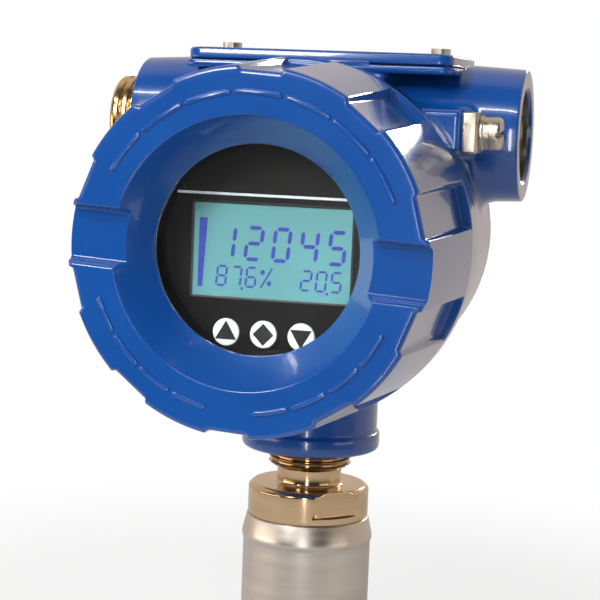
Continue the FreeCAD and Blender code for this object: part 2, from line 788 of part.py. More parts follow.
def make_display():
    """Face plate, liquid-crystal panel, display case and the board behind it."""
    hole = s["key_radius"] + s["key_hole_gap"]
    face = new_body("face_plate", front_seam, TO_FRONT)
    sketch = circle(new_sketch(face, "XY_Plane", face_back), (0, 0), s["face_radius"])
    half_width = s["lcd_width"] / 2
    half_height = s["lcd_height"] / 2
    lcd_low = (s["lcd_shift"] - half_width, -half_height - s["lcd_drop"])
    lcd_high = (s["lcd_shift"] + half_width, half_height - s["lcd_drop"])
    rectangle(sketch, lcd_low, lcd_high)
    for place_of_key in key_places():
        circle(sketch, place_of_key, hole)
    extruded(face, sketch, s["face_thickness"], "plate")
    panel = new_body("lcd_panel", front_seam, TO_FRONT)
    sketch = rectangle(new_sketch(panel, "XY_Plane", face_back), lcd_low, lcd_high)
    extruded(panel, sketch, s["lcd_thickness"], "panel")
    case = new_body("display_case", front_seam, TO_FRONT)
    sketch = circle(new_sketch(case, "XY_Plane", case_back), (0, 0), s["display_case_radius"])
    extruded(case, sketch, s["display_case_height"], "puck")
    wells = new_sketch(case, "XY_Plane", face_back)
    for place_of_key in key_places():
        circle(wells, place_of_key, s["key_skirt_radius"] + s["key_hole_gap"])
    extruded(case, wells, s["key_skirt_height"] + s["key_travel"] + s["key_hole_gap"] * 2, "key_wells",
             "Pocket")
    board = new_body("display_board", front_seam, TO_FRONT)
    sketch = circle(new_sketch(board, "XY_Plane", board_back), (0, 0), s["display_case_radius"])
    extruded(board, sketch, s["board_thickness"], "board")


def make_keys():
    """Three round keys: a cap that stands through the face plate on a wider skirt behind it."""
    for name, (across, up) in zip(("key_up", "key_set", "key_down"), key_places()):
        at = (across, -s["front_face_reach"] - face_back, axis_height + up)
        body = new_body(name, at, TO_FRONT)
        gap = s["key_hole_gap"]
        skirt_low = -gap - s["key_skirt_height"]
        turned(body, [
            (0, skirt_low),
            (s["key_skirt_radius"], skirt_low),
            (s["key_skirt_radius"], -gap),
            (s["key_radius"], -gap),
            (s["key_radius"], s["face_thickness"] + s["key_stand_out"]),
            (0, s["face_thickness"] + s["key_stand_out"]),
        ])


def make_electronics():
    """Potted module on the bulkhead, the main board on it and the pillars that carry the display."""
    module = new_body("electronics_module", front_seam, TO_FRONT)
    edge = s["module_chamfer"]
    turned(module, [
        (0, -bulkhead_front),
        (s["module_radius"], -bulkhead_front),
        (s["module_radius"], module_front - edge),
        (s["module_radius"] - edge, module_front),
        (0, module_front),
    ])
    board = new_body("main_board", front_seam, TO_FRONT)
    sketch = circle(new_sketch(board, "XY_Plane", module_front), (0, 0), s["board_radius"])
    extruded(board, sketch, s["board_thickness"], "board")
    low = module_front + s["board_thickness"]
    made = []
    for number in range(SIZES["pillar_count"]):
        pillar = doc.addObject("Part::Cylinder", "pillar_%d" % number)
        bind(pillar, "Radius", s["pillar_radius"])
        bind(pillar, "Height", board_back - low)
        angle = math.radians(45 + 360 * number / SIZES["pillar_count"])
        place(pillar, (s["pillar_circle"] * math.cos(angle), s["pillar_circle"] * math.sin(angle), low))
        made.append(pillar)
    group = doc.addObject("Part::Compound", "display_pillars")
    group.Label = "display_pillars"
    group.Links = made
    place(group, front_seam, TO_FRONT)
    nodes.append(("display_pillars", group))


# ---------------------------------------------------------------- terminal side

def make_terminals():
    """Moulded terminal block on the bulkhead, with a slotted screw in each well."""
    base = (0, -bulkhead_rear, axis_height)
    block = new_body("terminal_block", base, TO_REAR)
    sketch = circle(new_sketch(block, "XY_Plane"), (0, 0), s["terminal_block_radius"])
    extruded(block, sketch, s["terminal_block_height"], "disc")
    wells = new_sketch(block, "XY_Plane", s["terminal_block_height"])
    half_width = s["terminal_well_width"] / 2
    half_height = s["terminal_well_height"] / 2
    places = [s["terminal_spacing"] * step for step in (-1, 0, 1)]
    for across in places:
        rectangle(wells, (across - half_width, -half_height), (across + half_width, half_height))
    extruded(block, wells, s["terminal_well_depth"], "wells", "Pocket")
    floor = s["terminal_block_height"] - s["terminal_well_depth"]
    made = []
    for number, across in enumerate(places):
        head = doc.addObject("Part::Cylinder", "terminal_head_%d" % number)
        bind(head, "Radius", s["terminal_screw_radius"])
        bind(head, "Height", s["terminal_screw_height"])
        place(head, (across, 0, floor))
        slot = doc.addObject("Part::Box", "terminal_slot_%d" % number)
        bind(slot, "Length", (s["terminal_screw_radius"] + s["cut_overrun"]) * 2)
        bind(slot, "Width", s["terminal_screw_slot"])
        bind(slot, "Height", s["terminal_screw_height"])
        place(slot, (across - s["terminal_screw_radius"] - s["cut_overrun"], -s["terminal_screw_slot"] / 2,
                     floor + s["terminal_screw_height"] / 2))
        screw = doc.addObject("Part::Cut", "terminal_screw_%d" % number)
        screw.Base = head
        screw.Tool = slot
        made.append(screw)
    group = doc.addObject("Part::Compound", "terminal_screws")
    group.Label = "terminal_screws"
    group.Links = made
    place(group, base, TO_REAR)
    nodes.append(("terminal_screws", group))


def make_plug():
    """Stopping plug of the left conduit entry: thread, grooved head and a slot to turn it by."""
    at = (-s["hub_reach"], s["hub_set_back"], hub_height)
    body = new_body("conduit_plug", at, TO_LEFT)
    thread = s["plug_bore_radius"] - s["running_clearance"]
    gap = s["plug_seat_gap"]
    length = s["plug_head_length"]
    groove = length / 2 - s["plug_groove_length"] / 2
    waist = s["plug_head_radius"] - s["plug_groove_depth"]
    turned(body, [
        (0, -s["plug_thread_length"]),
        (thread, -s["plug_thread_length"]),
        (thread, gap),
        (s["plug_head_radius"], gap),
        (s["plug_head_radius"], groove),
        (waist, groove + s["plug_groove_length"] / 2),
        (s["plug_head_radius"], groove + s["plug_groove_length"]),
        (s["plug_head_radius"], length - s["plug_chamfer"]),
        (s["plug_head_radius"] - s["plug_chamfer"], length),
        (0, length),
    ])
    half = s["plug_slot_width"] / 2
    reach = s["plug_head_radius"] + s["cut_overrun"]
    sketch = rectangle(new_sketch(body, "XY_Plane", length), (-reach, -half), (reach, half))
    extruded(body, sketch, s["plug_slot_depth"], "slot", "Pocket")


# ---------------------------------------------------------------- ground terminal

def make_ground_terminal():
    """Square clamp, flat washer, split washer and slotted screw on the boss by the right hub."""
    hole = s["ground_screw_radius"] + s["ground_hole_gap"]
    clamp = new_body("ground_clamp", ground_axis, TO_RIGHT)
    half_height = s["clamp_height"] / 2
    half_depth = s["clamp_depth"] / 2
    sketch = rectangle(new_sketch(clamp, "XY_Plane"), (-half_height, -half_depth),
                       (half_height, half_depth))
    circle(sketch, (0, 0), hole)
    extruded(clamp, sketch, s["clamp_thickness"], "block")
    round_edges(clamp, s["clamp_rounding"], lambda edge: isinstance(edge.Curve, Part.Line), "Chamfer")
    low = s["clamp_thickness"]
    high = low + s["washer_thickness"]
    ring_piece("ground_washer", hole, s["washer_radius"], low, high, ground_axis, TO_RIGHT)
    low = high
    high = low + s["split_washer_thickness"]
    split = ring_piece("split_washer", hole, s["split_washer_radius"], low, high, ground_axis, TO_RIGHT)
    half = s["split_gap"] / 2
    cut = rectangle(new_sketch(split, "XY_Plane", high), (-half, 0),
                    (half, s["split_washer_radius"] + s["cut_overrun"]))
    extruded(split, cut, s["split_washer_thickness"], "split", "Pocket")
    screw = new_body("ground_screw", ground_axis, TO_RIGHT)
    low = high
    high = low + s["ground_head_height"]
    turned(screw, [
        (0, -s["ground_thread_depth"]),
        (s["ground_screw_radius"], -s["ground_thread_depth"]),
        (s["ground_screw_radius"], low),
        (s["ground_head_radius"], low),
        (s["ground_head_radius"], high - s["ground_head_chamfer"]),
        (s["ground_head_radius"] - s["ground_head_chamfer"], high),
        (0, high),
    ])
    half = s["ground_slot_width"] / 2
    reach = s["ground_head_radius"] + s["cut_overrun"]
    cut = rectangle(new_sketch(screw, "XY_Plane", high), (-reach, -half), (reach, half))
    extruded(screw, cut, s["ground_slot_depth"], "slot", "Pocket")


# ---------------------------------------------------------------- top plate

def crown_at(share):
    """Height of the plate's crown at a share of its half length from the middle."""
    return s["plate_crown"] * (1 - share ** 2)


def make_top_plate():
    """Crowned cover plate on the table, its thin pad and its two screws."""
    plate = new_body("top_plate", (0, 0, plate_base))
    half = s["plate_half_length"]
    thick = s["plate_thickness"]
    sketch = new_sketch(plate, "XZ_Plane", -s["plate_rear_reach"])
    shoulder = crown_at(2 / 3)
    shelf = crown_at(1 / 3)
    polygon(sketch, [
        (-half, 0),
        (half, 0),
        (half, thick),
        (half * 2 / 3, thick + shoulder),
        (half / 3, thick + shelf),
        (-half / 3, thick + shelf),
        (-half * 2 / 3, thick + shoulder),
        (-half, thick),
    ])
    extruded(plate, sketch, s["plate_rear_reach"] + s["plate_front_reach"], "slab")
    holes = new_sketch(plate, "XY_Plane", thick + s["plate_crown"])
    for side in (-1, 1):
        circle(holes, (s["plate_screw_reach"] * side, plate_middle),
               s["plate_screw_radius"] + s["plate_hole_gap"])
    extruded(plate, holes, thick + s["plate_crown"], "holes", "Pocket")
    round_edges(plate, s["plate_corner"], lambda edge: isinstance(edge.Curve, Part.Line)
                and edge.BoundBox.DiagonalLength - edge.BoundBox.ZLength < TOUCH
                and abs(abs(edge.BoundBox.XMin) - half.value) < TOUCH)
    pad = new_body("plate_pad", (0, 0, table_top))
    inset = s["pad_inset"]
    sketch = rectangle(new_sketch(pad, "XY_Plane"),
                       (-half + inset, -s["plate_front_reach"] + inset),
                       (half - inset, s["plate_rear_reach"] - inset))
    for side in (-1, 1):
        circle(sketch, (s["plate_screw_reach"] * side, plate_middle),
               s["plate_screw_radius"] + s["plate_hole_gap"])
    extruded(pad, sketch, s["pad_thickness"], "sheet")
    made = []
    for side, number in ((-1, 0), (1, 1)):
        head = doc.addObject("Part::Cylinder", "plate_head_%d" % number)
        bind(head, "Radius", s["plate_screw_head"])
        bind(head, "Height", s["plate_screw_rise"])
        place(head, (s["plate_screw_reach"] * side, plate_middle,
                     plate_base + thick + shoulder))
        shank = doc.addObject("Part::Cylinder", "plate_shank_%d" % number)
        bind(shank, "Radius", s["plate_screw_radius"])
        bind(shank, "Height", s["plate_screw_depth"] + s["pad_thickness"] + thick + s["plate_crown"])
        place(shank, (s["plate_screw_reach"] * side, plate_middle, table_top - s["plate_screw_depth"]))
        screw = doc.addObject("Part::Fuse", "plate_screw_%d" % number)
        screw.Base = head
        screw.Tool = shank
        made.append(screw)
    group = doc.addObject("Part::Compound", "plate_screws")
    group.Label = "plate_screws"
    group.Links = made
    nodes.append(("plate_screws", group))


def make_set_screw():
    """Grub screw in the back of the neck that stops the housing from turning."""
    tip = neck_bore_radius + s["set_screw_tip_gap"]
    length = s["neck_radius"] - s["set_screw_recess"] - tip
    at = (0, tip, set_screw_height)
    body = new_body("neck_set_screw", at, TO_REAR)
    turned(body, [(0, 0), (s["set_screw_radius"], 0), (s["set_screw_radius"], length), (0, length)])
    sketch = circle(new_sketch(body, "XY_Plane", length), (0, 0), s["set_screw_socket"])
    extruded(body, sketch, s["set_screw_radius"], "socket", "Pocket")


make_sensor_body()
make_diaphragm()
make_neck_fitting()
make_sensor_header()
make_housing()
make_front_cover()
make_window()
make_rear_cover()
make_seals()
make_display()
make_keys()
make_electronics()
make_terminals()
make_plug()
make_ground_terminal()
make_top_plate()
make_set_screw()

doc.recompute()
for item in doc.Objects:
    faults = [word for word in item.State if word in ("Invalid", "Error")]
    if faults:
        raise RuntimeError("%s: %s" % (item.Name, faults))
os.makedirs("parts", exist_ok=True)
for name, item in nodes:
    shape = item.Shape
    if shape.isNull() or not shape.isValid():
        raise RuntimeError(name + " has no sound shape")
    shape.exportStep("parts/" + name + ".step")
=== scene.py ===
"""Looks of a field pressure transmitter: blue cast housing with screw covers, steel neck and display.

Sizes are in millimetres, in the part's own frame: origin at the mouth of the process port, +Z up the
neck, the display faces -Y, the conduit hubs run along X. Meshes turn them into metres.
"""
import math
from collections import namedtuple

import bmesh
import bpy
import numpy as np
from mathutils import Matrix, Vector


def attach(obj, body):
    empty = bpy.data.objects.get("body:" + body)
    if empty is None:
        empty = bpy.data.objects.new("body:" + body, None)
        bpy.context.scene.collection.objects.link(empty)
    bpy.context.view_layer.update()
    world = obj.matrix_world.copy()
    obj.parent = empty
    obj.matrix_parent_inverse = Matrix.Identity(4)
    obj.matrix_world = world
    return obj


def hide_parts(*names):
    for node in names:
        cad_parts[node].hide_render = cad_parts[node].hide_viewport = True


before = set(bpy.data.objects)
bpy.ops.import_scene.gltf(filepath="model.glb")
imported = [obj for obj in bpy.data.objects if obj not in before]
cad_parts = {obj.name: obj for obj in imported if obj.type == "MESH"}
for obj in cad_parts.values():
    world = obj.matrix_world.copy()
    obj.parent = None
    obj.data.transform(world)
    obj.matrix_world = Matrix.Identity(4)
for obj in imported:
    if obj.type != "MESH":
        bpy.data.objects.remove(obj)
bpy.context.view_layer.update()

MM = 0.001
FULL_TURN = 2 * math.pi

# ---------------- sizes (mm)

# The covers' axis lies AXIS_HEIGHT above the mouth of the port. The seams are the planes where the
# covers meet the housing, before and behind the neck's axis.
AXIS_HEIGHT = 122.0
FRONT_SEAM = 24.3
REAR_SEAM = 34.0

Cover = namedtuple("Cover", "length rim_radius end_radius rim_length rounding notch_floor")
FRONT_COVER = Cover(53.5, 49.2, 46.0, 7.6, 1.2, 44.7)
REAR_COVER = Cover(19.5, 42.4, 40.6, 4.0, 1.8, 39.4)
COVER_FRONT = FRONT_COVER.length
COVER_TURN = 3.5
RIM_EDGE = 0.3
RIM_CHAMFER = 0.6
NOTCH_COUNT = 10
NOTCH_HALF = 5.3
NOTCH_SLOPE = 0.545
NOTCH_BLEND = 0.6
NOTCH_WALL_HALF = 0.45
NOTCH_FLOOR_DRAFT = 0.6
SLOT_DEPTH = 3.6
SLOT_FLOOR_HALF = 6.0
SLOT_MOUTH_HALF = 7.7
RING_INNER = 34.0
STEP_RADIUS = 31.6
WINDOW_RADIUS = 26.6
WINDOW_DEPTH = 11.0
WINDOW_LIP = 1.5
GLASS_POCKET_RADIUS = 34.75
GLASS_POCKET_FOOT = 34.0
CUP_RADIUS = 38.0
CUP_FOOT = 30.8
CUP_THREAD_RADIUS = 42.46
BAR_RADIUS = 39.4
BAR_WIDTH = 1.5
BAR_RISE = 0.45
REAR_FACE_RADIUS = 34.0
REAR_FACE_DEPTH = 0.8
REAR_CUP_DEPTH = 14.5
REAR_THREAD_RADIUS = 37.46

BARREL_FRONT_RADIUS = 46.8
BARREL_TAPER = 1.8
SHOULDER = -19.3
CHAMBER_FLOOR = -13.0
WIRING_RADIUS = 33.6
WIRING_FLOOR = -7.5
SPIGOT_RADIUS = 42.4
REAR_SPIGOT_RADIUS = 37.4
GROOVE = 2.2
FLANGE_RADIUS = 48.8
NECK_BASE = 60.1
NECK_RADIUS = 19.1
NECK_BEAD_RADIUS = 19.95
HUB_Y = 12.5
HUB_LIFT = 30.1
HUB_Z = AXIS_HEIGHT + HUB_LIFT
HUB_REACH = 56.3
HUB_ROOT_RADIUS = 19.9
HUB_END_RADIUS = 18.6
HUB_MOUTH_RADIUS = 13.2
RIGHT_BORE_RADIUS = 12.3
LEFT_BORE_RADIUS = 11.8
BORE_FLOOR = 30.0
BOSS_CENTRE = (30.0, -14.9, 30.9)
BOSS_HALF = (13.5, 9.0, 6.0)
WEB_Y = 11.25
WEB_Z = 40.0
WEB_HALF_Z = 7.6

TABLE_HALF = (38.6, 22.75)
TABLE_CORNER = 3.6
TABLE_Y = 11.25
TABLE_EDGE = 47.6
TABLE_TOP = 48.3
PLATE_HALF = (38.0, 21.8)
PLATE_CORNER = 4.0
PLATE_Y = 11.2
PLATE_BASE = 48.7
PLATE_THICKNESS = 3.0
PLATE_CROWN = 0.8
PLATE_SCREW_X = 31.0

BODY_RADIUS = 18.55
BODY_TOP = 40.2
PORT_RADIUS = 9.2
PORT_DEPTH = 17.0
COLLAR_RADIUS = 17.5
COLLAR_FLAT = 15.8
COLLAR_TOP = 49.5
UNDERCUT_RADIUS = 9.3
NECK_THREAD_RADIUS = 11.95
NECK_THREAD_TOP = 74.1
PLUG_RADIUS = 12.9
PLUG_THREAD_RADIUS = 11.7
PLUG_DEPTH = 14.0
PLUG_END = 8.6

CLAMP_AT = (43.5, -17.9, AXIS_HEIGHT + 30.9)
CLAMP_SIZE = (11.0, 12.4, 4.3)
WASHER_HOLE = 2.56
WASHER_RADIUS = 4.7
WASHER_THICKNESS = 1.1
SCREW_SEAT = 6.9
SCREW_HEAD = 3.3
SCREW_HEAD_RADIUS = 4.4
SCREW_RADIUS = 2.5

# The face plate: heights above the front seam, places and sizes as seen from the front.
FACE_FRONT = 29.9
FACE_BACK = 28.7
LCD_CENTRE = (1.3, -1.2)
LCD_SIZE = (41.8, 24.0)
KEY_SPACING = 10.0
KEY_Y = -22.4
KEY_RADIUS = 4.2
KEY_CAP_RADIUS = 3.55
KEY_RISE = 0.5
INK = 0.03

FLOOR_RADIUS = 250.0
FLOOR_FADE = 90.0

# ---------------- places

IDENTITY = Matrix.Identity(4)
TO_FRONT = Matrix.Rotation(math.radians(90), 4, "X")
TO_REAR = Matrix.Rotation(math.radians(-90), 4, "X")
TO_RIGHT = Matrix.Rotation(math.radians(90), 4, "Y")
TO_LEFT = Matrix.Rotation(math.radians(-90), 4, "Y")


def placed(at, turn=IDENTITY):
    """Local millimetres to the part's millimetres: turned, then moved to a point."""
    return Matrix.Translation(Vector(at)) @ turn


FRONT = placed((0, -FRONT_SEAM, AXIS_HEIGHT), TO_FRONT)
REAR = placed((0, REAR_SEAM, AXIS_HEIGHT), TO_REAR)

# ---------------- mesh helpers


def moved(points, place):
    """Points in local millimetres as points in metres in the part's frame."""
    matrix = np.array(place)
    return (np.asarray(points, float) @ matrix[:3, :3].T + matrix[:3, 3]) * MM


def in_scene(name, data):
    """A mesh, a lamp or a camera as an object of the scene."""
    made = bpy.data.objects.new(name, data)
    bpy.context.scene.collection.objects.link(made)
    return made


def new_object(name, points, faces, place=IDENTITY, sharp=35.0):
    """A mesh object from points and faces, with merged doubles, outward faces and smooth shading."""
    mesh = bpy.data.meshes.new(name)
    mesh.from_pydata(moved(points, place).tolist(), [], faces)
    work = bmesh.new()
    work.from_mesh(mesh)
    bmesh.ops.remove_doubles(work, verts=work.verts, dist=1e-6)
    bmesh.ops.recalc_face_normals(work, faces=work.faces)
    work.to_mesh(mesh)
    work.free()
    mesh.shade_smooth()
    mesh.set_sharp_from_angle(angle=math.radians(sharp))
    return in_scene(name, mesh)


def joined(name, parts):
    """Several objects as one."""
    work = bmesh.new()
    for part in parts:
        work.from_mesh(part.data)
    mesh = bpy.data.meshes.new(name)
    work.to_mesh(mesh)
    work.free()
    for part in parts:
        bpy.data.objects.remove(part)
    return in_scene(name, mesh)


def grid_faces(rows, columns):
    """Quads between neighbouring rows of a grid of points, closed round its columns."""
    faces = []
    for i in range(rows - 1):
        low = i * columns
        high = low + columns
        for j in range(columns):
            k = (j + 1) % columns
            faces.append((low + j, low + k, high + k, high + j))
    return faces


def skin(name, radius, height, angle, place, sharp=35.0):
    """A turned surface from grids of radius and height, one column for each angle."""
    points = np.stack([radius * np.cos(angle), radius * np.sin(angle), height], axis=-1)
    rows, columns = radius.shape
    return new_object(name, points.reshape(-1, 3), grid_faces(rows, columns), place, sharp)


def softened(corners):
    """An outline of (x, y, rounding) corners as points, each corner rounded by a short curve."""
    points = []
    count = len(corners)
    for i, corner in enumerate(corners):
        here = np.array(corner[:2], float)
        rounding = corner[2]
        if rounding == 0 or i in (0, count - 1):
            points.append(here)
            continue
        before = np.array(corners[i - 1][:2], float) - here
        after = np.array(corners[i + 1][:2], float) - here
        reach_before = min(rounding, 0.45 * np.linalg.norm(before))
        reach_after = min(rounding, 0.45 * np.linalg.norm(after))
        start = here + before / np.linalg.norm(before) * reach_before
        end = here + after / np.linalg.norm(after) * reach_after
        for t in np.linspace(0, 1, 5):
            points.append(start * (1 - t) ** 2 + here * 2 * t * (1 - t) + end * t ** 2)
    return np.array(points)


def lathe(name, corners, place, columns=160, cap=None, outline=None):
    """Turn an outline of (radius, height, rounding) corners. cap lowers heights, outline cuts radii."""
    profile = softened(corners)
    angle = np.arange(columns) * FULL_TURN / columns
    radius = np.repeat(profile[:, :1], columns, axis=1)
    height = np.repeat(profile[:, 1:], columns, axis=1)
    if outline is not None:
        radius = outline(radius, height, angle)
    if cap is not None:
        height = np.minimum(height, cap(radius * np.sin(angle)))
    return skin(name, radius, height, angle, place)


def smooth_step(low, high, value):
    """0 below low, 1 above high, eased between."""
    share = np.clip((value - low) / (high - low), 0, 1)
    return share * share * (3 - 2 * share)


def smooth_min(a, b, blend):
    """The smaller of two values, rounded off where they are within a blend of each other."""
    gap = np.clip(blend - np.abs(a - b), 0, None) / blend
    return np.minimum(a, b) - gap * gap * blend / 4


def smooth_max(a, b, blend):
    """The larger of two values, rounded off in the same way."""
    return -smooth_min(-a, -b, blend)


def slot_cap(top, depth, half, edge=0.25):
    """Heights that a slot across the middle leaves: top outside it, top - depth inside it."""
    def cap(across):
        return top - depth * (1 - smooth_step(half, half + edge, np.abs(across)))
    return cap


def ring_outline(half_x, half_y, corner):
    """Points around a rounded rectangle, centred, with the same count for any size."""
    per_corner = 8
    points = []
    for sx, sy, start in ((1, 1, 0), (-1, 1, 90), (-1, -1, 180), (1, -1, 270)):
        for step in range(per_corner + 1):
            turn = math.radians(start + 90 * step / per_corner)
            points.append((sx * (half_x - corner) + corner * math.cos(turn),
                           sy * (half_y - corner) + corner * math.sin(turn)))
    return points


def slab(name, half, corner, rows, place, sharp=35.0, crown=0.0, crown_above=0.0):
    """A plate with a rounded outline, from rows of (inset, height); high rows are crowned along x."""
    half_x, half_y = half
    points = []
    for inset, height in rows:
        reach = max(corner - inset, 0.05)
        for x, y in ring_outline(half_x - inset, half_y - inset, reach):
            lift = crown * (1 - (x / half_x) ** 2) if height > crown_above else 0
            points.append((x, y, height + lift))
    columns = len(points) // len(rows)
    return new_object(name, points, grid_faces(len(rows), columns), place, sharp)


def block(name, half, rounding, place):
    """A box with rounded edges, centred on its place."""
    work = bmesh.new()
    bmesh.ops.create_cube(work, size=2)
    bmesh.ops.scale(work, vec=Vector(half), verts=work.verts)
    bmesh.ops.bevel(work, geom=work.edges[:], offset=rounding, segments=3, profile=0.5,
                    affect="EDGES", clamp_overlap=True)
    points = [tuple(vert.co) for vert in work.verts]
    faces = [[vert.index for vert in face.verts] for face in work.faces]
    work.free()
    return new_object(name, points, faces, place, 30)


def thread_rows(radius, start, end, pitch, depth):
    """Outline corners of a thread's crests and roots between two heights."""
    corners = []
    count = int(abs(end - start) / pitch)
    step = (end - start) / count
    for i in range(count):
        base = start + step * i
        for share, cut in ((0, 1), (0.38, 0.15), (0.5, 0), (0.62, 0.15)):
            corners.append((radius - depth * cut, base + step * share, 0))
    corners.append((radius - depth, end, 0))
    return corners


def flat_shape(name, outline, height, thickness, place):
    """A thin raised shape from one outline: a top face and the walls round it."""
    count = len(outline)
    points = [(x, y, height) for x, y in outline] + [(x, y, height + thickness) for x, y in outline]
    faces = [tuple(range(count, 2 * count))]
    faces += [(i, (i + 1) % count, count + (i + 1) % count, count + i) for i in range(count)]
    return new_object(name, points, faces, place, 20)


# ---------------- materials


def new_material(name, colour, roughness, metallic=0.0):
    """A material with its Principled shader, the colour written as 8-bit sRGB."""
    material = bpy.data.materials.new(name)
    material.use_nodes = True
    shader = material.node_tree.nodes["Principled BSDF"]
    shader.inputs["Base Color"].default_value = linear(colour)
    shader.inputs["Roughness"].default_value = roughness
    shader.inputs["Metallic"].default_value = metallic
    return material, shader


def linear(colour):
    """An 8-bit sRGB colour as linear RGBA."""
    channels = [c / 255 for c in colour]
    return tuple(c / 12.92 if c <= 0.04045 else ((c + 0.055) / 1.055) ** 2.4 for c in channels) + (1.0,)


def add(material, kind, **values):
    """A node with some of its inputs or properties set by name."""
    node = material.node_tree.nodes.new(kind)
    for key, value in values.items():
        if key in node.inputs:
            node.inputs[key].default_value = value
        else:
            setattr(node, key, value)
    return node


def link(material, source, target):
    """Join an output of one node to an input of another, in a material or the world."""
    material.node_tree.links.new(source, target)


def noise(material, scale, detail, stretch=(1, 1, 1)):
    """Noise over the object's own coordinates, in metres."""
    place = add(material, "ShaderNodeTexCoord")
    mapping = add(material, "ShaderNodeMapping")
    mapping.inputs["Scale"].default_value = stretch
    texture = add(material, "ShaderNodeTexNoise", Scale=scale, Detail=detail)
    link(material, place.outputs["Object"], mapping.inputs["Vector"])
    link(material, mapping.outputs["Vector"], texture.inputs["Vector"])
    return texture.outputs["Fac"]


def colour_between(material, shader, source, low, high, start=0.35, end=0.65):
    """Drive the base colour between two colours by a pattern."""
    ramp = add(material, "ShaderNodeValToRGB")
    ramp.color_ramp.elements[0].position = start
    ramp.color_ramp.elements[0].color = linear(low)
    ramp.color_ramp.elements[1].position = end
    ramp.color_ramp.elements[1].color = linear(high)
    link(material, source, ramp.inputs["Fac"])
    link(material, ramp.outputs["Color"], shader.inputs["Base Color"])


def ranged(material, source, span, wanted, interpolation="LINEAR"):
    """A value's span from low to high, spread over another span."""
    spread = add(material, "ShaderNodeMapRange", interpolation_type=interpolation)
    spread.inputs["From Min"].default_value = span[0]
    spread.inputs["From Max"].default_value = span[1]
    spread.inputs["To Min"].default_value = wanted[0]
    spread.inputs["To Max"].default_value = wanted[1]
    link(material, source, spread.inputs["Value"])
    return spread.outputs["Result"]


def roughness_between(material, shader, source, low, high):
    """Drive the roughness between two values by a pattern."""
    link(material, ranged(material, source, (0.3, 0.7), (low, high)), shader.inputs["Roughness"])


def maths(material, operation, first, second):
    """The outcome of a Math node whose two inputs are sockets or numbers."""
    node = add(material, "ShaderNodeMath", operation=operation)
    for target, value in zip(node.inputs, (first, second)):
        if isinstance(value, bpy.types.NodeSocket):
            link(material, value, target)
        else:
            target.default_value = value
    return node.outputs["Value"]


def mixed(material, share, first, second):
    """Show the first shader or the second, by a share from 0 to 1, at the material's surface."""
    mix = add(material, "ShaderNodeMixShader")
    link(material, share, mix.inputs["Fac"])
    link(material, first, mix.inputs[1])
    link(material, second, mix.inputs[2])
    output = material.node_tree.nodes["Material Output"]
    link(material, mix.outputs["Shader"], output.inputs["Surface"])


def bumped(material, shader, source, distance, strength=1.0):
    """Raise the surface's normal by a pattern, to a depth in metres."""
    bump = add(material, "ShaderNodeBump", Distance=distance, Strength=strength)
    link(material, source, bump.inputs["Height"])
    link(material, bump.outputs["Normal"], shader.inputs["Normal"])


def paint(name, colour, darker):
    """Glossy stoved paint on a casting: slight orange peel and a slow change of depth."""
    material, shader = new_material(name, colour, 0.3)
    shader.inputs["Coat Weight"].default_value = 0.6
    shader.inputs["Coat Roughness"].default_value = 0.04
    colour_between(material, shader, noise(material, 45, 1), darker, colour, 0.2, 0.8)
    roughness_between(material, shader, noise(material, 90, 1), 0.21, 0.23)
    bumped(material, shader, noise(material, 260, 1), 0.00003, 0.5)
    return material


def metal(name, colour, darker, roughness, scale, stretch=(1, 1, 1)):
    """Machined metal: tool marks along one direction and a faint change of tint."""
    material, shader = new_material(name, colour, roughness, 1.0)
    pattern = noise(material, scale, 4, stretch)
    colour_between(material, shader, pattern, darker, colour)
    roughness_between(material, shader, pattern, roughness * 0.8, roughness * 1.3)
    bumped(material, shader, pattern, 0.00002)
    return material


def moulded(name, colour, darker, roughness, scale=300, bump=0.00004):
    """Plastic, rubber or ink: a matt surface with a fine grain."""
    material, shader = new_material(name, colour, roughness)
    pattern = noise(material, scale, 3)
    colour_between(material, shader, pattern, darker, colour)
    roughness_between(material, shader, noise(material, scale / 3, 1), roughness * 0.95, roughness * 1.05)
    bumped(material, shader, pattern, bump)
    return material


def window_material(name):
    """Clear glass that lets the lamps through to what is behind it."""
    material, shader = new_material(name, (250, 253, 253), 0.0)
    shader.inputs["Transmission Weight"].default_value = 1.0
    shader.inputs["IOR"].default_value = 1.5
    clear = add(material, "ShaderNodeBsdfTransparent", Color=(0.96, 0.97, 0.97, 1))
    rays = add(material, "ShaderNodeLightPath")
    mixed(material, rays.outputs["Is Shadow Ray"], shader.outputs["BSDF"], clear.outputs["BSDF"])
    return material


blue = paint("blue_paint", (20, 85, 168), (16, 77, 158))
# The turned steel's warm tan base colour is partly painted reflection: it stands in for warm surroundings
# mirrored in the polished steel.
steel = metal("turned_steel", (214, 186, 150), (204, 174, 136), 0.14, 160, (0.1, 0.1, 3))
body_steel = metal("blasted_steel", (212, 202, 192), (202, 192, 182), 0.34, 200, (0.1, 0.1, 2))
plain_steel = metal("plain_steel", (210, 200, 184), (204, 194, 178), 0.33, 900)
brass = metal("brass", (226, 196, 142), (212, 180, 124), 0.2, 400)
aluminium = metal("aluminium", (196, 198, 200), (182, 184, 186), 0.35, 400)
# The bores' aluminium is darker and more olive than the retainer's: painted shade of the inside of the
# bores.
shaded_bore_metal = metal("bore_aluminium_painted_shade", (150, 146, 132), (128, 124, 110), 0.34, 400)
rubber = moulded("rubber", (30, 30, 31), (22, 22, 23), 0.7)
black_plate = moulded("black_plate", (16, 15, 15), (13, 12, 12), 0.3, 500, 0.00001)
black_plastic = moulded("black_plastic", (34, 34, 36), (26, 26, 28), 0.5)
board_green = moulded("board_green", (26, 92, 58), (20, 78, 48), 0.45, 250)
resin = moulded("potting_resin", (38, 38, 42), (28, 28, 32), 0.4, 90)
lcd_back = moulded("lcd_back", (92, 150, 153), (86, 143, 147), 0.42, 60, 0.000005)
ink_blue = moulded("ink_blue", (46, 58, 158), (38, 48, 144), 0.5, 700, 0.000005)
ink_white = moulded("ink_white", (226, 232, 234), (212, 218, 222), 0.5, 700, 0.000005)
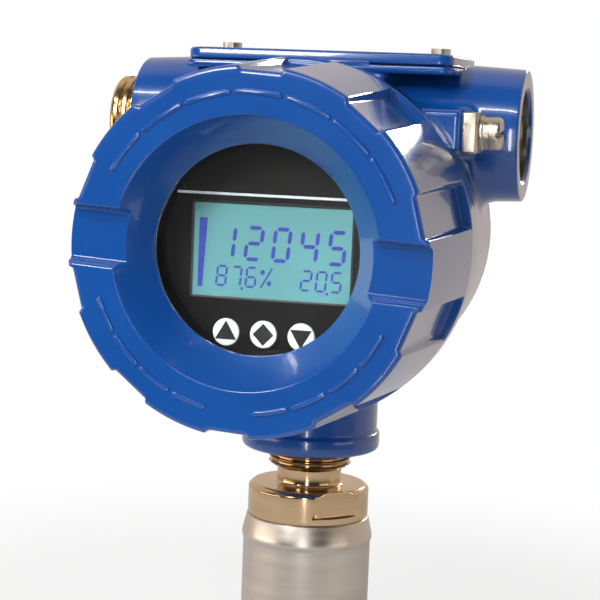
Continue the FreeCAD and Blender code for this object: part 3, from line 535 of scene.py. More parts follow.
ink_black = moulded("ink_black", (18, 18, 19), (12, 12, 13), 0.5, 700, 0.000005)
key_white = moulded("key_white", (232, 234, 232), (222, 224, 222), 0.4, 700, 0.000005)
window = window_material("window_glass")


def dress(thing, material, body):
    """Give a piece its material and the body it rides on."""
    thing.data.materials.clear()
    thing.data.materials.append(material)
    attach(thing, body)


# ---------------- front and rear cover


class Rows:
    """Rows of a turned surface: a radius and a height for every angle."""

    def __init__(self, columns):
        self.angle = np.arange(columns) * FULL_TURN / columns
        self.radii = []
        self.heights = []

    def add(self, radius, height):
        """One more row; the radius is one number or one for each angle."""
        self.radii.append(radius + np.zeros_like(self.angle))
        self.heights.append(height + np.zeros_like(self.angle))

    def add_turned(self, corners):
        """Round rows along an outline that starts at the last row."""
        for radius, height in softened(corners)[1:]:
            self.add(radius, height)

    def add_face(self, inner_edge, height, steps):
        """Flat rows from the last row's outline in to a circle."""
        edge = self.radii[-1]
        for share in np.linspace(0, 1, steps + 1)[1:]:
            self.add(edge + (inner_edge - edge) * share, height)

    def skin(self, name, place, cap=None):
        """The surface through the rows, its heights lowered by a cap."""
        radius = np.array(self.radii)
        height = np.array(self.heights)
        if cap is not None:
            height = np.minimum(height, cap(radius * np.sin(self.angle)))
        return skin(name, radius, height, self.angle, place, 50)


def notched(land, angle, floor):
    """Radius of a cover's outline at each angle, where grip notches cut into the land."""
    pitch = FULL_TURN / NOTCH_COUNT
    off = np.abs((angle - math.pi / 2 + pitch / 2) % pitch - pitch / 2)
    flat = floor / np.cos(off)
    lean = np.maximum(NOTCH_SLOPE * np.cos(off) - np.sin(off), 0.05)
    wall = (NOTCH_SLOPE * floor - NOTCH_HALF) / lean
    return smooth_min(land, smooth_max(flat, wall, NOTCH_BLEND), NOTCH_BLEND)


def cover_skirt(rows, cover, below, above):
    """Rows from a cover's rim up its skirt and over the rounded edge of its face.

    The skirt is plain at the rim. Beyond a wall across each notch it tapers and is notched. The
    lists are heights below and above that wall.
    """
    wall = [cover.rim_length + offset for offset in (-0.6, -0.3, 0, 0.3, 0.6)]
    stop = cover.length - cover.rounding
    rows.add(cover.rim_radius - RIM_CHAMFER, RIM_EDGE)
    for height in below + wall + above + [stop]:
        taper = np.clip((height - cover.rim_length) / (stop - cover.rim_length), 0, 1)
        land = cover.rim_radius + (cover.end_radius - cover.rim_radius) * taper
        floor = cover.notch_floor + NOTCH_FLOOR_DRAFT * (land - cover.end_radius)
        share = smooth_step(cover.rim_length - NOTCH_WALL_HALF, cover.rim_length + NOTCH_WALL_HALF,
                            height)
        rows.add(land + (notched(land, rows.angle, floor) - land) * share, height)
    edge = rows.radii[-1]
    for turn in np.radians([18, 36, 54, 72, 90]):
        rows.add(edge - cover.rounding * (1 - math.cos(turn)),
                 cover.length - cover.rounding * (1 - math.sin(turn)))


def make_front_cover():
    """The notched cup with two tool slots across its ring and a stepped cone down to the window."""
    slot_floor = COVER_FRONT - SLOT_DEPTH
    window_top = COVER_FRONT - WINDOW_DEPTH
    lip_foot = window_top - WINDOW_LIP
    inner_edge = RING_INNER + 0.5
    rows = Rows(900)
    cover_skirt(rows, FRONT_COVER, [0.9, 3.5, 6.2],
                [9.5, 14, 20, 26, 32, 38, 44, 48, slot_floor - 0.5, slot_floor, slot_floor + 0.5, 51.0])
    rows.add_face(inner_edge, COVER_FRONT, 9)
    rows.add_turned([
        (inner_edge, COVER_FRONT, 0),
        (RING_INNER, COVER_FRONT, 0.5),
        (STEP_RADIUS, slot_floor, 0.5),
        (WINDOW_RADIUS, window_top, 0.5),
        (WINDOW_RADIUS, lip_foot, 0.2),
        (GLASS_POCKET_RADIUS, lip_foot, 0),
        (GLASS_POCKET_RADIUS, GLASS_POCKET_FOOT, 0),
        (CUP_RADIUS, GLASS_POCKET_FOOT, 0),
        (CUP_RADIUS, CUP_FOOT, 0),
        (CUP_THREAD_RADIUS, CUP_FOOT, 0),
        (CUP_THREAD_RADIUS, RIM_EDGE, 0),
        (FRONT_COVER.rim_radius - RIM_CHAMFER, RIM_EDGE, 0),
    ])
    slots = slot_cap(COVER_FRONT, SLOT_DEPTH, SLOT_FLOOR_HALF, SLOT_MOUTH_HALF - SLOT_FLOOR_HALF)
    place = FRONT @ Matrix.Rotation(math.radians(-COVER_TURN), 4, "Z")
    cover = rows.skin("front_cover_cast", place, slots)
    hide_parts("front_cover")
    dress(cover, blue, "front_cover")
    make_cover_marks(place)


def make_cover_marks(place):
    """Raised bars on the ring, where such covers carry cast marks."""
    gap = 1.6
    bars = []
    for first, last, count in ((24, 156, 7), (202, 262, 4), (278, 338, 4)):
        edges = np.linspace(first, last, count + 1)
        for low, high in zip(edges[:-1], edges[1:]):
            bars.append(arc_bar(low + gap, high - gap, place))
    marks = joined("cover_marks", bars)
    dress(marks, blue, "front_cover")


def arc_bar(first, last, place):
    """A raised bar along an arc of the cover's ring, with sloping sides and round ends."""
    half = BAR_WIDTH / 2
    long_side = np.radians(np.linspace(first, last, 15))
    outline = [(turn, half) for turn in long_side]
    ends = np.radians(np.linspace(90, -90, 7)[1:-1])
    for end in ends:
        outline.append((long_side[-1] + half * math.cos(end) / BAR_RADIUS, half * math.sin(end)))
    outline += [(turn, -half) for turn in long_side[::-1]]
    for end in ends:
        outline.append((long_side[0] - half * math.cos(end) / BAR_RADIUS, -half * math.sin(end)))
    middle = math.radians((first + last) / 2)
    points = []
    for shrink, height in ((0, -0.2), (0, 0.05), (0.22, BAR_RISE - 0.1), (0.34, BAR_RISE)):
        for turn, out in outline:
            reach = BAR_RADIUS + out * (1 - shrink / half)
            inward = min(shrink / BAR_RADIUS, abs(turn - middle))
            turned_in = turn - math.copysign(inward, turn - middle)
            points.append((reach * math.cos(turned_in), reach * math.sin(turned_in),
                           COVER_FRONT + height))
    count = len(outline)
    faces = grid_faces(4, count)
    faces.append(tuple(range(3 * count, 4 * count)))
    return new_object("bar", points, faces, place, 40)


def make_rear_cover():
    """The shallow notched cover of the wiring chamber, with a slightly sunk face."""
    face = REAR_COVER.length - REAR_FACE_DEPTH
    outside = Rows(720)
    cover_skirt(outside, REAR_COVER, [0.9, 2.4], [6, 9, 12, 15])
    outside.add_face(REAR_FACE_RADIUS, REAR_COVER.length, 4)
    outside.add_turned([
        (REAR_FACE_RADIUS, REAR_COVER.length, 0), (REAR_FACE_RADIUS - 1, REAR_COVER.length, 0.6),
        (REAR_FACE_RADIUS - 1.8, face, 0.6), (12, face, 0), (0, face, 0),
    ])
    inside = Rows(720)
    inside.add(0, REAR_CUP_DEPTH)
    inside.add(REAR_THREAD_RADIUS, REAR_CUP_DEPTH)
    inside.add(REAR_THREAD_RADIUS, RIM_EDGE)
    inside.add(REAR_COVER.rim_radius - RIM_CHAMFER, RIM_EDGE)
    cover = joined("rear_cover_cast", [outside.skin("outside", REAR), inside.skin("inside", REAR)])
    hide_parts("rear_cover")
    dress(cover, blue, "rear_cover")


make_front_cover()
make_rear_cover()

# ---------------- housing casting


def distance_to_round(across, along, radius, low, high):
    """Distance to a cylinder given distance from its axis and position along it."""
    side = across - radius
    end = np.maximum(low - along, along - high)
    return np.minimum(np.maximum(side, end), 0) + np.hypot(np.maximum(side, 0), np.maximum(end, 0))


def distance_to_block(x, y, z, centre, half, rounding):
    """Distance to a box with rounded edges."""
    out = [np.abs(v - c) - h + rounding for v, c, h in zip((x, y, z), centre, half)]
    outside = np.sqrt(sum(np.maximum(v, 0) ** 2 for v in out))
    return outside + np.minimum(np.maximum.reduce(out), 0) - rounding


def casting_distance(points):
    """Distance to the skin of the casting, with cast fillets where its forms meet.

    The points are in millimetres from the covers' axis.
    """
    x, y, z = points[:, 0], points[:, 1], points[:, 2]
    barrel_radius = BARREL_FRONT_RADIUS - BARREL_TAPER * np.clip((y - SHOULDER) / 48.8, 0, 1)
    barrel = distance_to_round(np.hypot(x, z), y, barrel_radius, -23.0, 32.5)
    neck = distance_to_round(np.hypot(x, y), z, NECK_RADIUS, -60.5, -20.0)
    hub_taper = np.clip((np.abs(x) - 30) / 26.3, 0, 1)
    hub_radius = HUB_ROOT_RADIUS - (HUB_ROOT_RADIUS - HUB_END_RADIUS) * hub_taper
    hub = distance_to_round(np.hypot(y - HUB_Y, z - HUB_LIFT), x, hub_radius, -55.0, 55.0)
    slope = np.clip((z - 34.3) / 11.0, 0, 1)
    web = distance_to_block(x, y, z, (5.0, WEB_Y, WEB_Z), (11 + 4 * slope, 22.4, WEB_HALF_Z), 1.2)
    boss = distance_to_block(x, y, z, BOSS_CENTRE, BOSS_HALF, 1.8)
    skin_distance = smooth_min(barrel, hub, 5.0)
    skin_distance = smooth_min(skin_distance, web, 4.0)
    skin_distance = smooth_min(skin_distance, boss, 3.0)
    skin_distance = smooth_min(skin_distance, neck, 6.0)
    table_cut = z - TABLE_EDGE - 4.0 * smooth_step(38.0, 41.0, np.abs(x))
    return smooth_max(skin_distance, table_cut, 0.8)


def casting_slope(points):
    """Gradient of the distance at each point."""
    step = 0.02
    slope = np.empty_like(points)
    for axis in range(3):
        offset = np.zeros(3)
        offset[axis] = step
        slope[:, axis] = casting_distance(points + offset) - casting_distance(points - offset)
    return slope / (2 * step)


def rough_casting():
    """Plain overlapping forms that the skin starts from."""
    solids = [
        lathe("barrel", [(0, -23, 0), (46.5, -23, 0), (45, 32, 0), (0, 32, 0)], TO_REAR, 96),
        lathe("neck", [(0, -60.5, 0), (NECK_RADIUS, -60.5, 0), (NECK_RADIUS, -20, 0), (0, -20, 0)],
              IDENTITY, 64),
        lathe("hubs", [(0, -55, 0), (HUB_END_RADIUS, -55, 0), (HUB_ROOT_RADIUS, -30, 0),
                       (HUB_ROOT_RADIUS, 30, 0), (HUB_END_RADIUS, 55, 0), (0, 55, 0)],
              placed((0, HUB_Y, HUB_LIFT), TO_RIGHT), 64),
        block("web", (23, 20.8, WEB_HALF_Z), 1, placed((0, WEB_Y, WEB_Z))),
        block("boss", BOSS_HALF, 1, placed(BOSS_CENTRE)),
    ]
    rough = joined("rough", solids)
    remesh = rough.modifiers.new("skin", "REMESH")
    remesh.mode = "VOXEL"
    remesh.voxel_size = 0.8 * MM
    graph = bpy.context.evaluated_depsgraph_get()
    mesh = bpy.data.meshes.new_from_object(rough.evaluated_get(graph))
    bpy.data.objects.remove(rough)
    return mesh


def make_casting_skin():
    """The cast skin: the rough forms' mesh drawn onto the distance field."""
    mesh = rough_casting()
    points = np.empty(len(mesh.vertices) * 3)
    mesh.vertices.foreach_get("co", points)
    points = points.reshape(-1, 3) / MM
    for _ in range(10):
        slope = casting_slope(points)
        size = np.maximum((slope ** 2).sum(axis=1, keepdims=True), 0.3)
        points -= 0.9 * casting_distance(points)[:, None] * slope / size
    normals = casting_slope(points)
    normals /= np.linalg.norm(normals, axis=1, keepdims=True)
    # the rings of make_housing stand in for the ends of the barrel, the hubs and the neck
    faces = [tuple(face.vertices) for face in mesh.polygons]
    at = points[[face[0] for face in faces]]
    out = np.hypot(at[:, 0], at[:, 2])
    hidden = ((at[:, 1] < -20.5) & (out < 48.0)) | ((at[:, 1] > 31.0) & (out < 44.0))
    hidden |= (np.abs(at[:, 0]) > 53.3) | (at[:, 2] < -58.5)
    kept = [face for face, drop in zip(faces, hidden) if not drop]
    bpy.data.meshes.remove(mesh)
    cast = bpy.data.meshes.new("casting")
    cast.from_pydata(moved(points, placed((0, 0, AXIS_HEIGHT))).tolist(), [], kept)
    cast.shade_smooth()
    cast.normals_split_custom_set_from_vertices(normals.tolist())
    return in_scene("housing_skin", cast)


def groove(radius, seam, side):
    """Outline corners of a spigot's O-ring groove, on one side of a seam."""
    near = seam + side * GROOVE
    far = near + side * GROOVE
    return [(radius, near, 0), (radius - GROOVE, near, 0), (radius - GROOVE, far, 0), (radius, far, 0)]


def make_end_rings():
    """The machined ends of the barrel: chamber, threaded spigot with its groove, and flange."""
    along = placed((0, 0, AXIS_HEIGHT), TO_REAR)
    seam = -FRONT_SEAM
    end = seam - 20.0
    front = lathe("front_ring", [(0, CHAMBER_FLOOR, 0), (CUP_RADIUS, CHAMBER_FLOOR, 0),
                                 (CUP_RADIUS, end, 0.4), (SPIGOT_RADIUS - 0.6, end, 0),
                                 (SPIGOT_RADIUS, end + 0.6, 0)]
                  + groove(SPIGOT_RADIUS, seam, -1)[::-1]
                  + [(SPIGOT_RADIUS, seam, 0), (FLANGE_RADIUS, seam, 0.5),
                     (FLANGE_RADIUS, SHOULDER, 0.9), (46.9, -17.6, 1.6), (46.2, -12.0, 0),
                     (44.0, -11.0, 0)], along, 240)
    end = REAR_SEAM + 13.0
    rear = lathe("rear_ring", [(44.0, 25.0, 0), (45.05, 26.5, 0), (45.0, 29.5, 1.2),
                               (43.4, REAR_SEAM, 0.5), (REAR_SPIGOT_RADIUS, REAR_SEAM, 0)]
                 + groove(REAR_SPIGOT_RADIUS, REAR_SEAM, 1)
                 + [(REAR_SPIGOT_RADIUS, end, 0.4), (WIRING_RADIUS, end, 0.4),
                    (WIRING_RADIUS, WIRING_FLOOR, 0), (0, WIRING_FLOOR, 0)], along, 240)
    return [front, rear]


def make_neck_ring():
    """The bead round the foot of the neck and the mouth of its bore."""
    return lathe("neck_ring", [
        (12.4, NECK_BASE + 26, 0), (12.4, NECK_BASE + 1.2, 0), (13.4, NECK_BASE, 0.3),
        (NECK_BEAD_RADIUS, NECK_BASE, 1.9), (NECK_BEAD_RADIUS, NECK_BASE + 5.2, 1.1),
        (NECK_RADIUS, NECK_BASE + 5.6, 0.9), (NECK_RADIUS - 0.05, NECK_BASE + 8, 0),
        (18, NECK_BASE + 9, 0),
    ], IDENTITY, 160)


def make_table():
    """The flat table that carries the top plate, with a lug that fills the gap above the web."""
    table = slab("table", TABLE_HALF, TABLE_CORNER, [
        (3.5, TABLE_EDGE - 1.7), (1.2, TABLE_EDGE - 1.55), (0.35, TABLE_EDGE - 1.4),
        (0, TABLE_EDGE - 0.9), (0, TABLE_EDGE), (0.3, TABLE_TOP - 0.15), (0.8, TABLE_TOP),
        (8, TABLE_TOP), (22.6, TABLE_TOP),
    ], placed((0, TABLE_Y, AXIS_HEIGHT)))
    lug = block("table_lug", (9.2, 0.62, 1.5), 0.5, placed((6.2, -10.85, AXIS_HEIGHT + 47.9)))
    return [table, lug]


def make_housing():
    """The casting's skin, the machined rings on it and the two threaded conduit bores."""
    cast = make_casting_skin()
    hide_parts("housing")
    dress(cast, blue, "housing")
    rings = make_end_rings() + [make_neck_ring()]
    bores = []
    for turn, crest in ((TO_RIGHT, RIGHT_BORE_RADIUS), (TO_LEFT, LEFT_BORE_RADIUS)):
        place = placed((0, HUB_Y, HUB_Z), turn)
        rings.append(lathe("hub_ring", [
            (HUB_MOUTH_RADIUS, HUB_REACH - 1.0, 0), (HUB_MOUTH_RADIUS + 0.7, HUB_REACH, 0.25),
            (HUB_END_RADIUS, HUB_REACH, 0.6), (HUB_END_RADIUS + 0.17, HUB_REACH - 3.4, 0),
            (HUB_END_RADIUS - 0.4, HUB_REACH - 4.2, 0),
        ], place, 160))
        bores.append(lathe("hub_bore", [(0, BORE_FLOOR, 0), (crest, BORE_FLOOR, 0)]
                           + thread_rows(crest, BORE_FLOOR + 0.4, HUB_REACH - 2.6, 1.8, -0.85)
                           + [(HUB_MOUTH_RADIUS + 0.05, HUB_REACH - 0.9, 0)], place, 160))
    rings += make_table()
    threads = joined("conduit_threads", bores)
    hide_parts("housing")
    # The threads get the darker aluminium, which carries painted shade of the bores.
    dress(threads, shaded_bore_metal, "housing")
    trim = joined("housing_rings", rings)
    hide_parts("housing")
    dress(trim, blue, "housing")


make_housing()

# ---------------- steel below the housing


def make_sensor_body():
    """The sensor's body: a threaded port in its foot, a straight wall and a sloping shoulder."""
    port_bore = PORT_RADIUS - 0.6
    corners = [(0, PORT_DEPTH + 0.9, 0), (port_bore, PORT_DEPTH + 0.9, 0), (port_bore, PORT_DEPTH, 0)]
    corners += thread_rows(PORT_RADIUS, PORT_DEPTH, 1.4, 1.5, -0.7)
    corners += [
        (PORT_RADIUS + 1.2, 0, 0.2), (BODY_RADIUS - 1.2, 0, 0.3), (BODY_RADIUS, 1.2, 0.6),
        (BODY_RADIUS, 33.1, 0.5), (BODY_RADIUS + 0.4, 33.8, 0.4), (BODY_RADIUS + 0.4, 34.9, 0.7),
        (17.7, BODY_TOP, 0.4), (0, BODY_TOP, 0),
    ]
    piece = lathe("sensor_body_turned", corners, IDENTITY, 200)
    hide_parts("sensor_body")
    dress(piece, body_steel, "sensor")


def flats(radius, height, angle):
    """Two spanner flats across the collar, between its lip and the undercut."""
    off = np.abs((angle - math.radians(-45) + math.pi / 2) % math.pi - math.pi / 2)
    flat = COLLAR_FLAT / np.maximum(np.cos(off), 0.2)
    share = smooth_step(42.25, 42.4, height) * (1 - smooth_step(49.6, 49.8, height))
    cut = smooth_min(radius, flat, 0.25)
    return radius + (cut - radius) * share


def make_neck_fitting():
    """The fitting on the body: a lip, a collar with spanner flats, an undercut and the neck thread."""
    corners = [(0, BODY_TOP, 0), (COLLAR_RADIUS - 0.2, BODY_TOP, 0.25),
               (COLLAR_RADIUS, BODY_TOP + 0.7, 0.3), (COLLAR_RADIUS, BODY_TOP + 1.7, 0.3)]
    corners += [(COLLAR_RADIUS, height, 0) for height in (42.2, 42.3, 42.5, 44.0, 46.0, 47.8)]
    corners += [(COLLAR_RADIUS, COLLAR_TOP - 1.1, 0.4), (COLLAR_RADIUS - 1.2, COLLAR_TOP, 0.4),
                (UNDERCUT_RADIUS + 0.6, COLLAR_TOP, 0.5), (UNDERCUT_RADIUS, COLLAR_TOP + 0.6, 0.3),
                (UNDERCUT_RADIUS, 54.4, 0.4)]
    corners += thread_rows(NECK_THREAD_RADIUS, 54.9, NECK_THREAD_TOP, 1.55, 0.95)
    corners += [(0, NECK_THREAD_TOP, 0)]
    piece = lathe("neck_fitting_turned", corners, IDENTITY, 240, outline=flats)
    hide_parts("neck_fitting")
    dress(piece, steel, "sensor")


def make_plug():
    """The plug in the left bore: a thread, a head with two V grooves and a slot across its end."""
    corners = [(0, -PLUG_DEPTH, 0)]
    corners += thread_rows(PLUG_THREAD_RADIUS, -PLUG_DEPTH, 0.1, 1.8, 0.9)
    corners += [(PLUG_RADIUS, 0.1, 0.3)]
    for middle in (3.0, 5.5):
        corners += [(PLUG_RADIUS, middle - 0.6, 0.25), (PLUG_RADIUS - 0.8, middle, 0.2),
                    (PLUG_RADIUS, middle + 0.6, 0.25)]
    corners += [(PLUG_RADIUS, PLUG_END - 1, 0.5), (PLUG_RADIUS - 1, PLUG_END, 0.4)]
    corners += [(radius, PLUG_END, 0) for radius in (9, 7.8, 6, 4, 2.5, 1.5, 0)]
    piece = lathe("conduit_plug_turned", corners, placed((-HUB_REACH, HUB_Y, HUB_Z), TO_LEFT), 240,
                  cap=slot_cap(PLUG_END, 3.0, 1.5))
    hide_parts("conduit_plug")
    dress(piece, brass, "conduit_plug")


make_sensor_body()
make_neck_fitting()
make_plug()

# ---------------- top plate and ground terminal


def pan_head(name, radius, rise, place):
    """A slotted pan head seated at height 0."""
    corners = [(0, -0.3, 0), (radius * 0.96, -0.3, 0), (radius, 0.3, 0.3), (radius, rise * 0.45, 0.6),
               (radius * 0.8, rise * 0.88, 0.9)]
    corners += [(radius * share, rise, 0) for share in (0.55, 0.42, 0.3, 0.2, 0.1, 0)]
    return lathe(name, corners, place, 96, cap=slot_cap(rise, rise * 0.55, 0.45, 0.15))


def make_top_plate():
    """The bare cast plate, a little crowned, and the heads of its two screws."""
    base = AXIS_HEIGHT + PLATE_BASE
    plate = slab("top_plate_cast", PLATE_HALF, PLATE_CORNER, [
        (3.2, 0), (0.25, 0), (0, 0.25), (0, 2.2), (0.25, 2.65), (0.8, 2.9), (3, PLATE_THICKNESS),
        (8, PLATE_THICKNESS), (14, PLATE_THICKNESS), (21.7, PLATE_THICKNESS),
    ], placed((0, PLATE_Y, base)), 40, PLATE_CROWN, 2.0)
    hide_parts("top_plate")
    dress(plate, blue, "housing")
    heads = []
    for side in (-1, 1):
        turn = Matrix.Rotation(math.radians(35 * side), 4, "Z")
        seat = (PLATE_SCREW_X * side, PLATE_Y, base + PLATE_THICKNESS + 0.3)
        heads.append(pan_head("head", 2.8, 1.7, placed(seat, turn)))
    screws = joined("plate_screw_heads", heads)
    dress(screws, plain_steel, "housing")


def make_ground_terminal():
    """The clamp on its boss, the flat washer and the slotted screw, stacked along the clamp's axis."""
    seat = placed(CLAMP_AT, TO_RIGHT)
    half = Vector(CLAMP_SIZE) / 2
    clamp = block("ground_clamp_body", half, 0.7, seat @ placed((0, 0, half.z)))
    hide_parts("ground_clamp")
    dress(clamp, plain_steel, "housing")
    low = CLAMP_SIZE[2]
    high = low + WASHER_THICKNESS
    washer = lathe("ground_washer_ring", [
        (WASHER_HOLE, low, 0), (WASHER_HOLE, high, 0.15), (WASHER_RADIUS, high, 0.3),
        (WASHER_RADIUS, low, 0.3), (WASHER_HOLE, low, 0),
    ], seat, 96)
    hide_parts("ground_washer")
    dress(washer, plain_steel, "housing")
    top = SCREW_SEAT + SCREW_HEAD
    corners = [(0, -7, 0), (SCREW_RADIUS - 0.2, -7, 0.2), (SCREW_RADIUS, -6.6, 0),
               (SCREW_RADIUS, SCREW_SEAT, 0), (SCREW_HEAD_RADIUS, SCREW_SEAT, 0.2),
               (SCREW_HEAD_RADIUS, top - 0.6, 0.6), (SCREW_HEAD_RADIUS - 0.6, top, 0.3)]
    corners += [(reach, top, 0) for reach in (3.0, 2.0, 1.4, 1.0, 0.75, 0.6, 0.4, 0)]
    screw = lathe("ground_screw_turned", corners, seat @ Matrix.Rotation(math.radians(97), 4, "Z"), 96,
                  cap=slot_cap(top, 1.4, 0.6, 0.12))
    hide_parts("ground_screw")
    dress(screw, plain_steel, "ground_screw")


make_top_plate()
make_ground_terminal()

# ---------------- display

SEGMENTS = {
    "0": "abcdef", "1": "bc", "2": "abdeg", "4": "bcfg", "5": "acdfg", "6": "acdefg", "7": "abc",
    "8": "abcdefg",
}
DigitSize = namedtuple("DigitSize", "width height pitch stroke")
LARGE = DigitSize(4.9, 9.1, 7.3, 1.0)
SMALL = DigitSize(3.0, 5.5, 3.95, 0.55)


def segment_outlines(size):
    """The seven segments of a digit whose lower left corner is at 0, 0."""
    half = size.stroke / 2
    gap = size.stroke * 0.28
    left, right, low, high = half, size.width - half, half, size.height - half
    middle = size.height / 2

    def level(y):
        return [(left + gap, y), (left + gap + half, y + half), (right - gap - half, y + half),
                (right - gap, y), (right - gap - half, y - half), (left + gap + half, y - half)]

    def upright(x, bottom, top):
        return [(x, bottom + gap), (x + half, bottom + gap + half), (x + half, top - gap - half),
                (x, top - gap), (x - half, top - gap - half), (x - half, bottom + gap + half)]

    return {
        "a": level(high), "g": level(middle), "d": level(low),
        "f": upright(left, middle, high), "b": upright(right, middle, high),
        "e": upright(left, low, middle), "c": upright(right, low, middle),
    }


def digit_row(text, at, size):
    """Flat shapes of a row of digits, leaning a little to the right."""
    lean = 0.09
    shapes = []
    outlines = segment_outlines(size)
    for order, sign in enumerate(text):
        for letter in SEGMENTS[sign]:
            shapes.append([(at[0] + size.pitch * order + x + y * lean, at[1] + y)
                           for x, y in outlines[letter]])
    return shapes


def disc(centre, radius, count, start=0.0):
    """A regular outline round a centre."""
    return [(centre[0] + radius * math.cos(start + FULL_TURN * i / count),
             centre[1] + radius * math.sin(start + FULL_TURN * i / count)) for i in range(count)]


def printed(name, outlines, height, material, body):
    """Thin printed or displayed shapes on a face of the display, in the face's millimetres."""
    parts = [flat_shape("mark", outline, height, INK, FRONT) for outline in outlines]
    dress(joined(name, parts), material, body)


def make_display():
    """Plain figures on the display: a number, a share, a number and a bar; then bezel and line."""
    figures = digit_row("12045", (-13.6, -3.7), LARGE)
    figures += digit_row("876", (-13.6, -10.6), SMALL)
    figures += digit_row("205", (8.9, -10.6), SMALL)
    points = [disc((across, -10.9), 0.36, 16) for across in (-6.3, 16.2)]
    percent = [disc((-0.9, -6.4), 0.62, 20), disc((0.9, -9.2), 0.62, 20),
               [(-1.6, -10.5), (-1.1, -10.5), (1.9, -5.2), (1.4, -5.2)]]
    bar = [(-18.3, -11.0), (-17.0, -11.0), (-16.0, 6.9), (-18.2, 6.9)]
    shapes = figures + points + percent + [bar]
    printed("lcd_figures", shapes, FACE_BACK + 1.0, ink_blue, "housing")
    half = (LCD_SIZE[0] / 2 + 0.7, LCD_SIZE[1] / 2 + 0.7)
    bezel = slab("lcd_bezel", half, 1.0, [
        (0.72, -0.2), (0.72, 0.0), (0.45, 0.12), (0.15, 0.12), (0, 0.0), (0, -0.2),
    ], FRONT @ placed((*LCD_CENTRE, FACE_FRONT)))
    dress(bezel, black_plastic, "housing")
    line = [(-24.4, 12.95), (29.2, 12.95), (29.0, 13.6), (-24.4, 13.6)]
    printed("face_line", [line], FACE_FRONT, ink_white, "housing")


def make_keys():
    """Round key caps with a domed edge, each with a printed mark."""
    top = FACE_FRONT + KEY_RISE
    low = FACE_BACK - 0.12
    left, right = -KEY_SPACING, KEY_SPACING
    diamond = [(0, -19.5), (2.8, KEY_Y), (0, -25.3), (-2.8, KEY_Y)]
    marks = {
        "key_up": (left, disc((left, -22.6), 3.3, 3, math.radians(90))),
        "key_set": (0.0, diamond),
        "key_down": (right, disc((right, -22.2), 3.3, 3, math.radians(-90))),
    }
    for name, (across, outline) in marks.items():
        cap = lathe(name + "_cap", [
            (0, low - 1.4, 0), (KEY_RADIUS, low - 1.4, 0.2), (KEY_RADIUS, low, 0.2),
            (KEY_CAP_RADIUS, low, 0), (KEY_CAP_RADIUS, top, 0.35), (2.8, top, 0), (0, top, 0),
        ], FRONT @ placed((across, KEY_Y, 0)), 96)
        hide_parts(name)
        dress(cap, key_white, name)
        printed(name + "_mark", [outline], top, ink_black, name)


make_display()
make_keys()

# ---------------- materials of the nodes that stay

KEPT = {
    "process_diaphragm": plain_steel, "sensor_header": plain_steel, "neck_o_ring": rubber,
    "front_o_ring": rubber, "rear_o_ring": rubber, "face_plate": black_plate, "lcd_panel": lcd_back,
    "display_case": black_plastic, "display_board": board_green, "display_pillars": brass,
    "main_board": board_green, "electronics_module": resin, "terminal_block": black_plastic,
    "terminal_screws": brass, "split_washer": plain_steel, "plate_pad": rubber,
    "plate_screws": plain_steel, "neck_set_screw": plain_steel, "window_glass": window,
    "window_gasket": rubber, "window_retainer": aluminium,
}
for node_name, node_material in KEPT.items():
    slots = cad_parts[node_name].data.materials
    slots.clear()
    slots.append(node_material)

# ---------------- floor, room, lamps, camera


def floor_material():
    """Pale matt floor that keeps the shadow and fades out to white for the camera.

    Mirror images in the part show some of the white, and diffuse light sees only the floor.
    """
    material, shader = new_material("floor", (212, 212, 212), 0.9)
    colour_between(material, shader, noise(material, 3.0, 1), (210, 210, 210), (214, 214, 214))
    place = add(material, "ShaderNodeTexCoord")
    length = add(material, "ShaderNodeVectorMath", operation="LENGTH")
    link(material, place.outputs["Object"], length.inputs[0])
    fade = ranged(material, length.outputs["Value"], (FLOOR_FADE * MM, FLOOR_RADIUS * MM * 0.95),
                  (0.8, 1.0), "SMOOTHSTEP")
    rays = add(material, "ShaderNodeLightPath").outputs
    seen = maths(material, "MAXIMUM", rays["Is Camera Ray"], rays["Is Transmission Ray"])
    mirrored = maths(material, "MULTIPLY", rays["Is Glossy Ray"], 0.3)
    shown = maths(material, "MAXIMUM", seen, mirrored)
    share = maths(material, "MULTIPLY", shown, fade)
    white = add(material, "ShaderNodeEmission", Color=(1, 1, 1, 1), Strength=1.0)
    mixed(material, share, shader.outputs["BSDF"], white.outputs["Emission"])
    return material


def make_floor():
    """A round floor under the part; beyond it the room shows white."""
    rows = [(0, 0, 0)] + [(FLOOR_RADIUS * share, 0, 0) for share in (0.3, 0.6, 1.0)]
    floor = lathe("floor", rows, IDENTITY, 96)
    floor.data.materials.append(floor_material())


def softbox(name, at, target, size, strength, colour=(1, 1, 1)):
    """A rectangular lamp of a size in millimetres, turned to a target and unseen by the camera."""
    light = bpy.data.lights.new(name, "AREA")
    light.shape = "RECTANGLE"
    light.size = size[0] * MM
    light.size_y = size[1] * MM
    light.energy = strength
    light.color = colour
    lamp = in_scene(name, light)
    lamp.location = Vector(at) * MM
    lamp.rotation_euler = (Vector(target) - Vector(at)).to_track_quat("-Z", "Y").to_euler()
    lamp.visible_camera = False


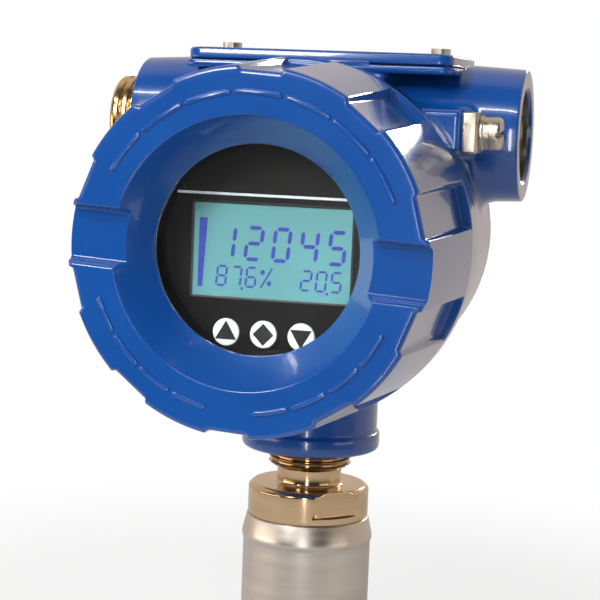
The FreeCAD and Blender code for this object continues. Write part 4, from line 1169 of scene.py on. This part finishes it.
def make_world():
    """A room that is dim in front of the part and pale behind it; the camera sees it as white."""
    world = bpy.data.worlds.new("studio")
    bpy.context.scene.world = world
    world.use_nodes = True
    background = world.node_tree.nodes["Background"]
    place = add(world, "ShaderNodeTexCoord")
    split = add(world, "ShaderNodeSeparateXYZ")
    link(world, place.outputs["Generated"], split.inputs["Vector"])
    back = split.outputs["Y"]
    ambient = ranged(world, back, (-0.35, 0.75), (0.06, 0.5), "SMOOTHSTEP")
    behind = ranged(world, back, (-0.15, 0.2), (0.0, 0.68), "SMOOTHSTEP")
    rays = add(world, "ShaderNodeLightPath").outputs
    through = maths(world, "MAXIMUM", rays["Is Glossy Ray"], rays["Is Transmission Ray"])
    backing = maths(world, "MULTIPLY", behind, through)
    seen = maths(world, "MAXIMUM", rays["Is Camera Ray"], backing)
    strength = maths(world, "MAXIMUM", ambient, seen)
    tint = add(world, "ShaderNodeMix", data_type="RGBA")
    tint.inputs["A"].default_value = (1.0, 0.88, 0.77, 1)
    tint.inputs["B"].default_value = (1, 1, 1, 1)
    link(world, rays["Is Camera Ray"], tint.inputs["Factor"])
    link(world, tint.outputs["Result"], background.inputs["Color"])
    link(world, strength, background.inputs["Strength"])


def make_camera():
    """A long lens before the part, a little to its right and above it, rolled a little."""
    camera = bpy.data.cameras.new("camera")
    camera.lens = 103.55
    camera.sensor_width = 36
    camera.clip_end = 20
    holder = in_scene("camera", camera)
    look = Vector((-0.24122, 0.96356, -0.11563)).to_track_quat("-Z", "Y").to_matrix().to_4x4()
    roll = Matrix.Rotation(math.radians(2.24), 4, "Z")
    holder.matrix_world = placed(Vector((115.53, -480.66, 160.10)) * MM, look @ roll)
    bpy.context.scene.camera = holder


def make_lamps():
    """Panels at both sides, a strip and a fill above the front, a rim light and a narrow strip."""
    warm = (1.0, 0.9, 0.78)
    middle = (0, -20, 120)
    softbox("left_panel", (-900, -420, 90), middle, (900, 300), 2.6, warm)
    softbox("right_panel", (900, -330, 60), middle, (600, 260), 0.8, warm)
    softbox("top_strip", (-216, -560, 790), middle, (900, 40), 3.2)
    softbox("front_fill", (-300, -800, 560), middle, (240, 240), 4.4)
    softbox("rim_panel", (190, 900, 430), middle, (150, 70), 2.2)
    softbox("camera_strip", (80, -640, 60), (0, 0, 60), (24, 440), 0.8)


make_floor()
make_world()
make_lamps()
make_camera()
bpy.context.scene.view_settings.view_transform = "Standard"
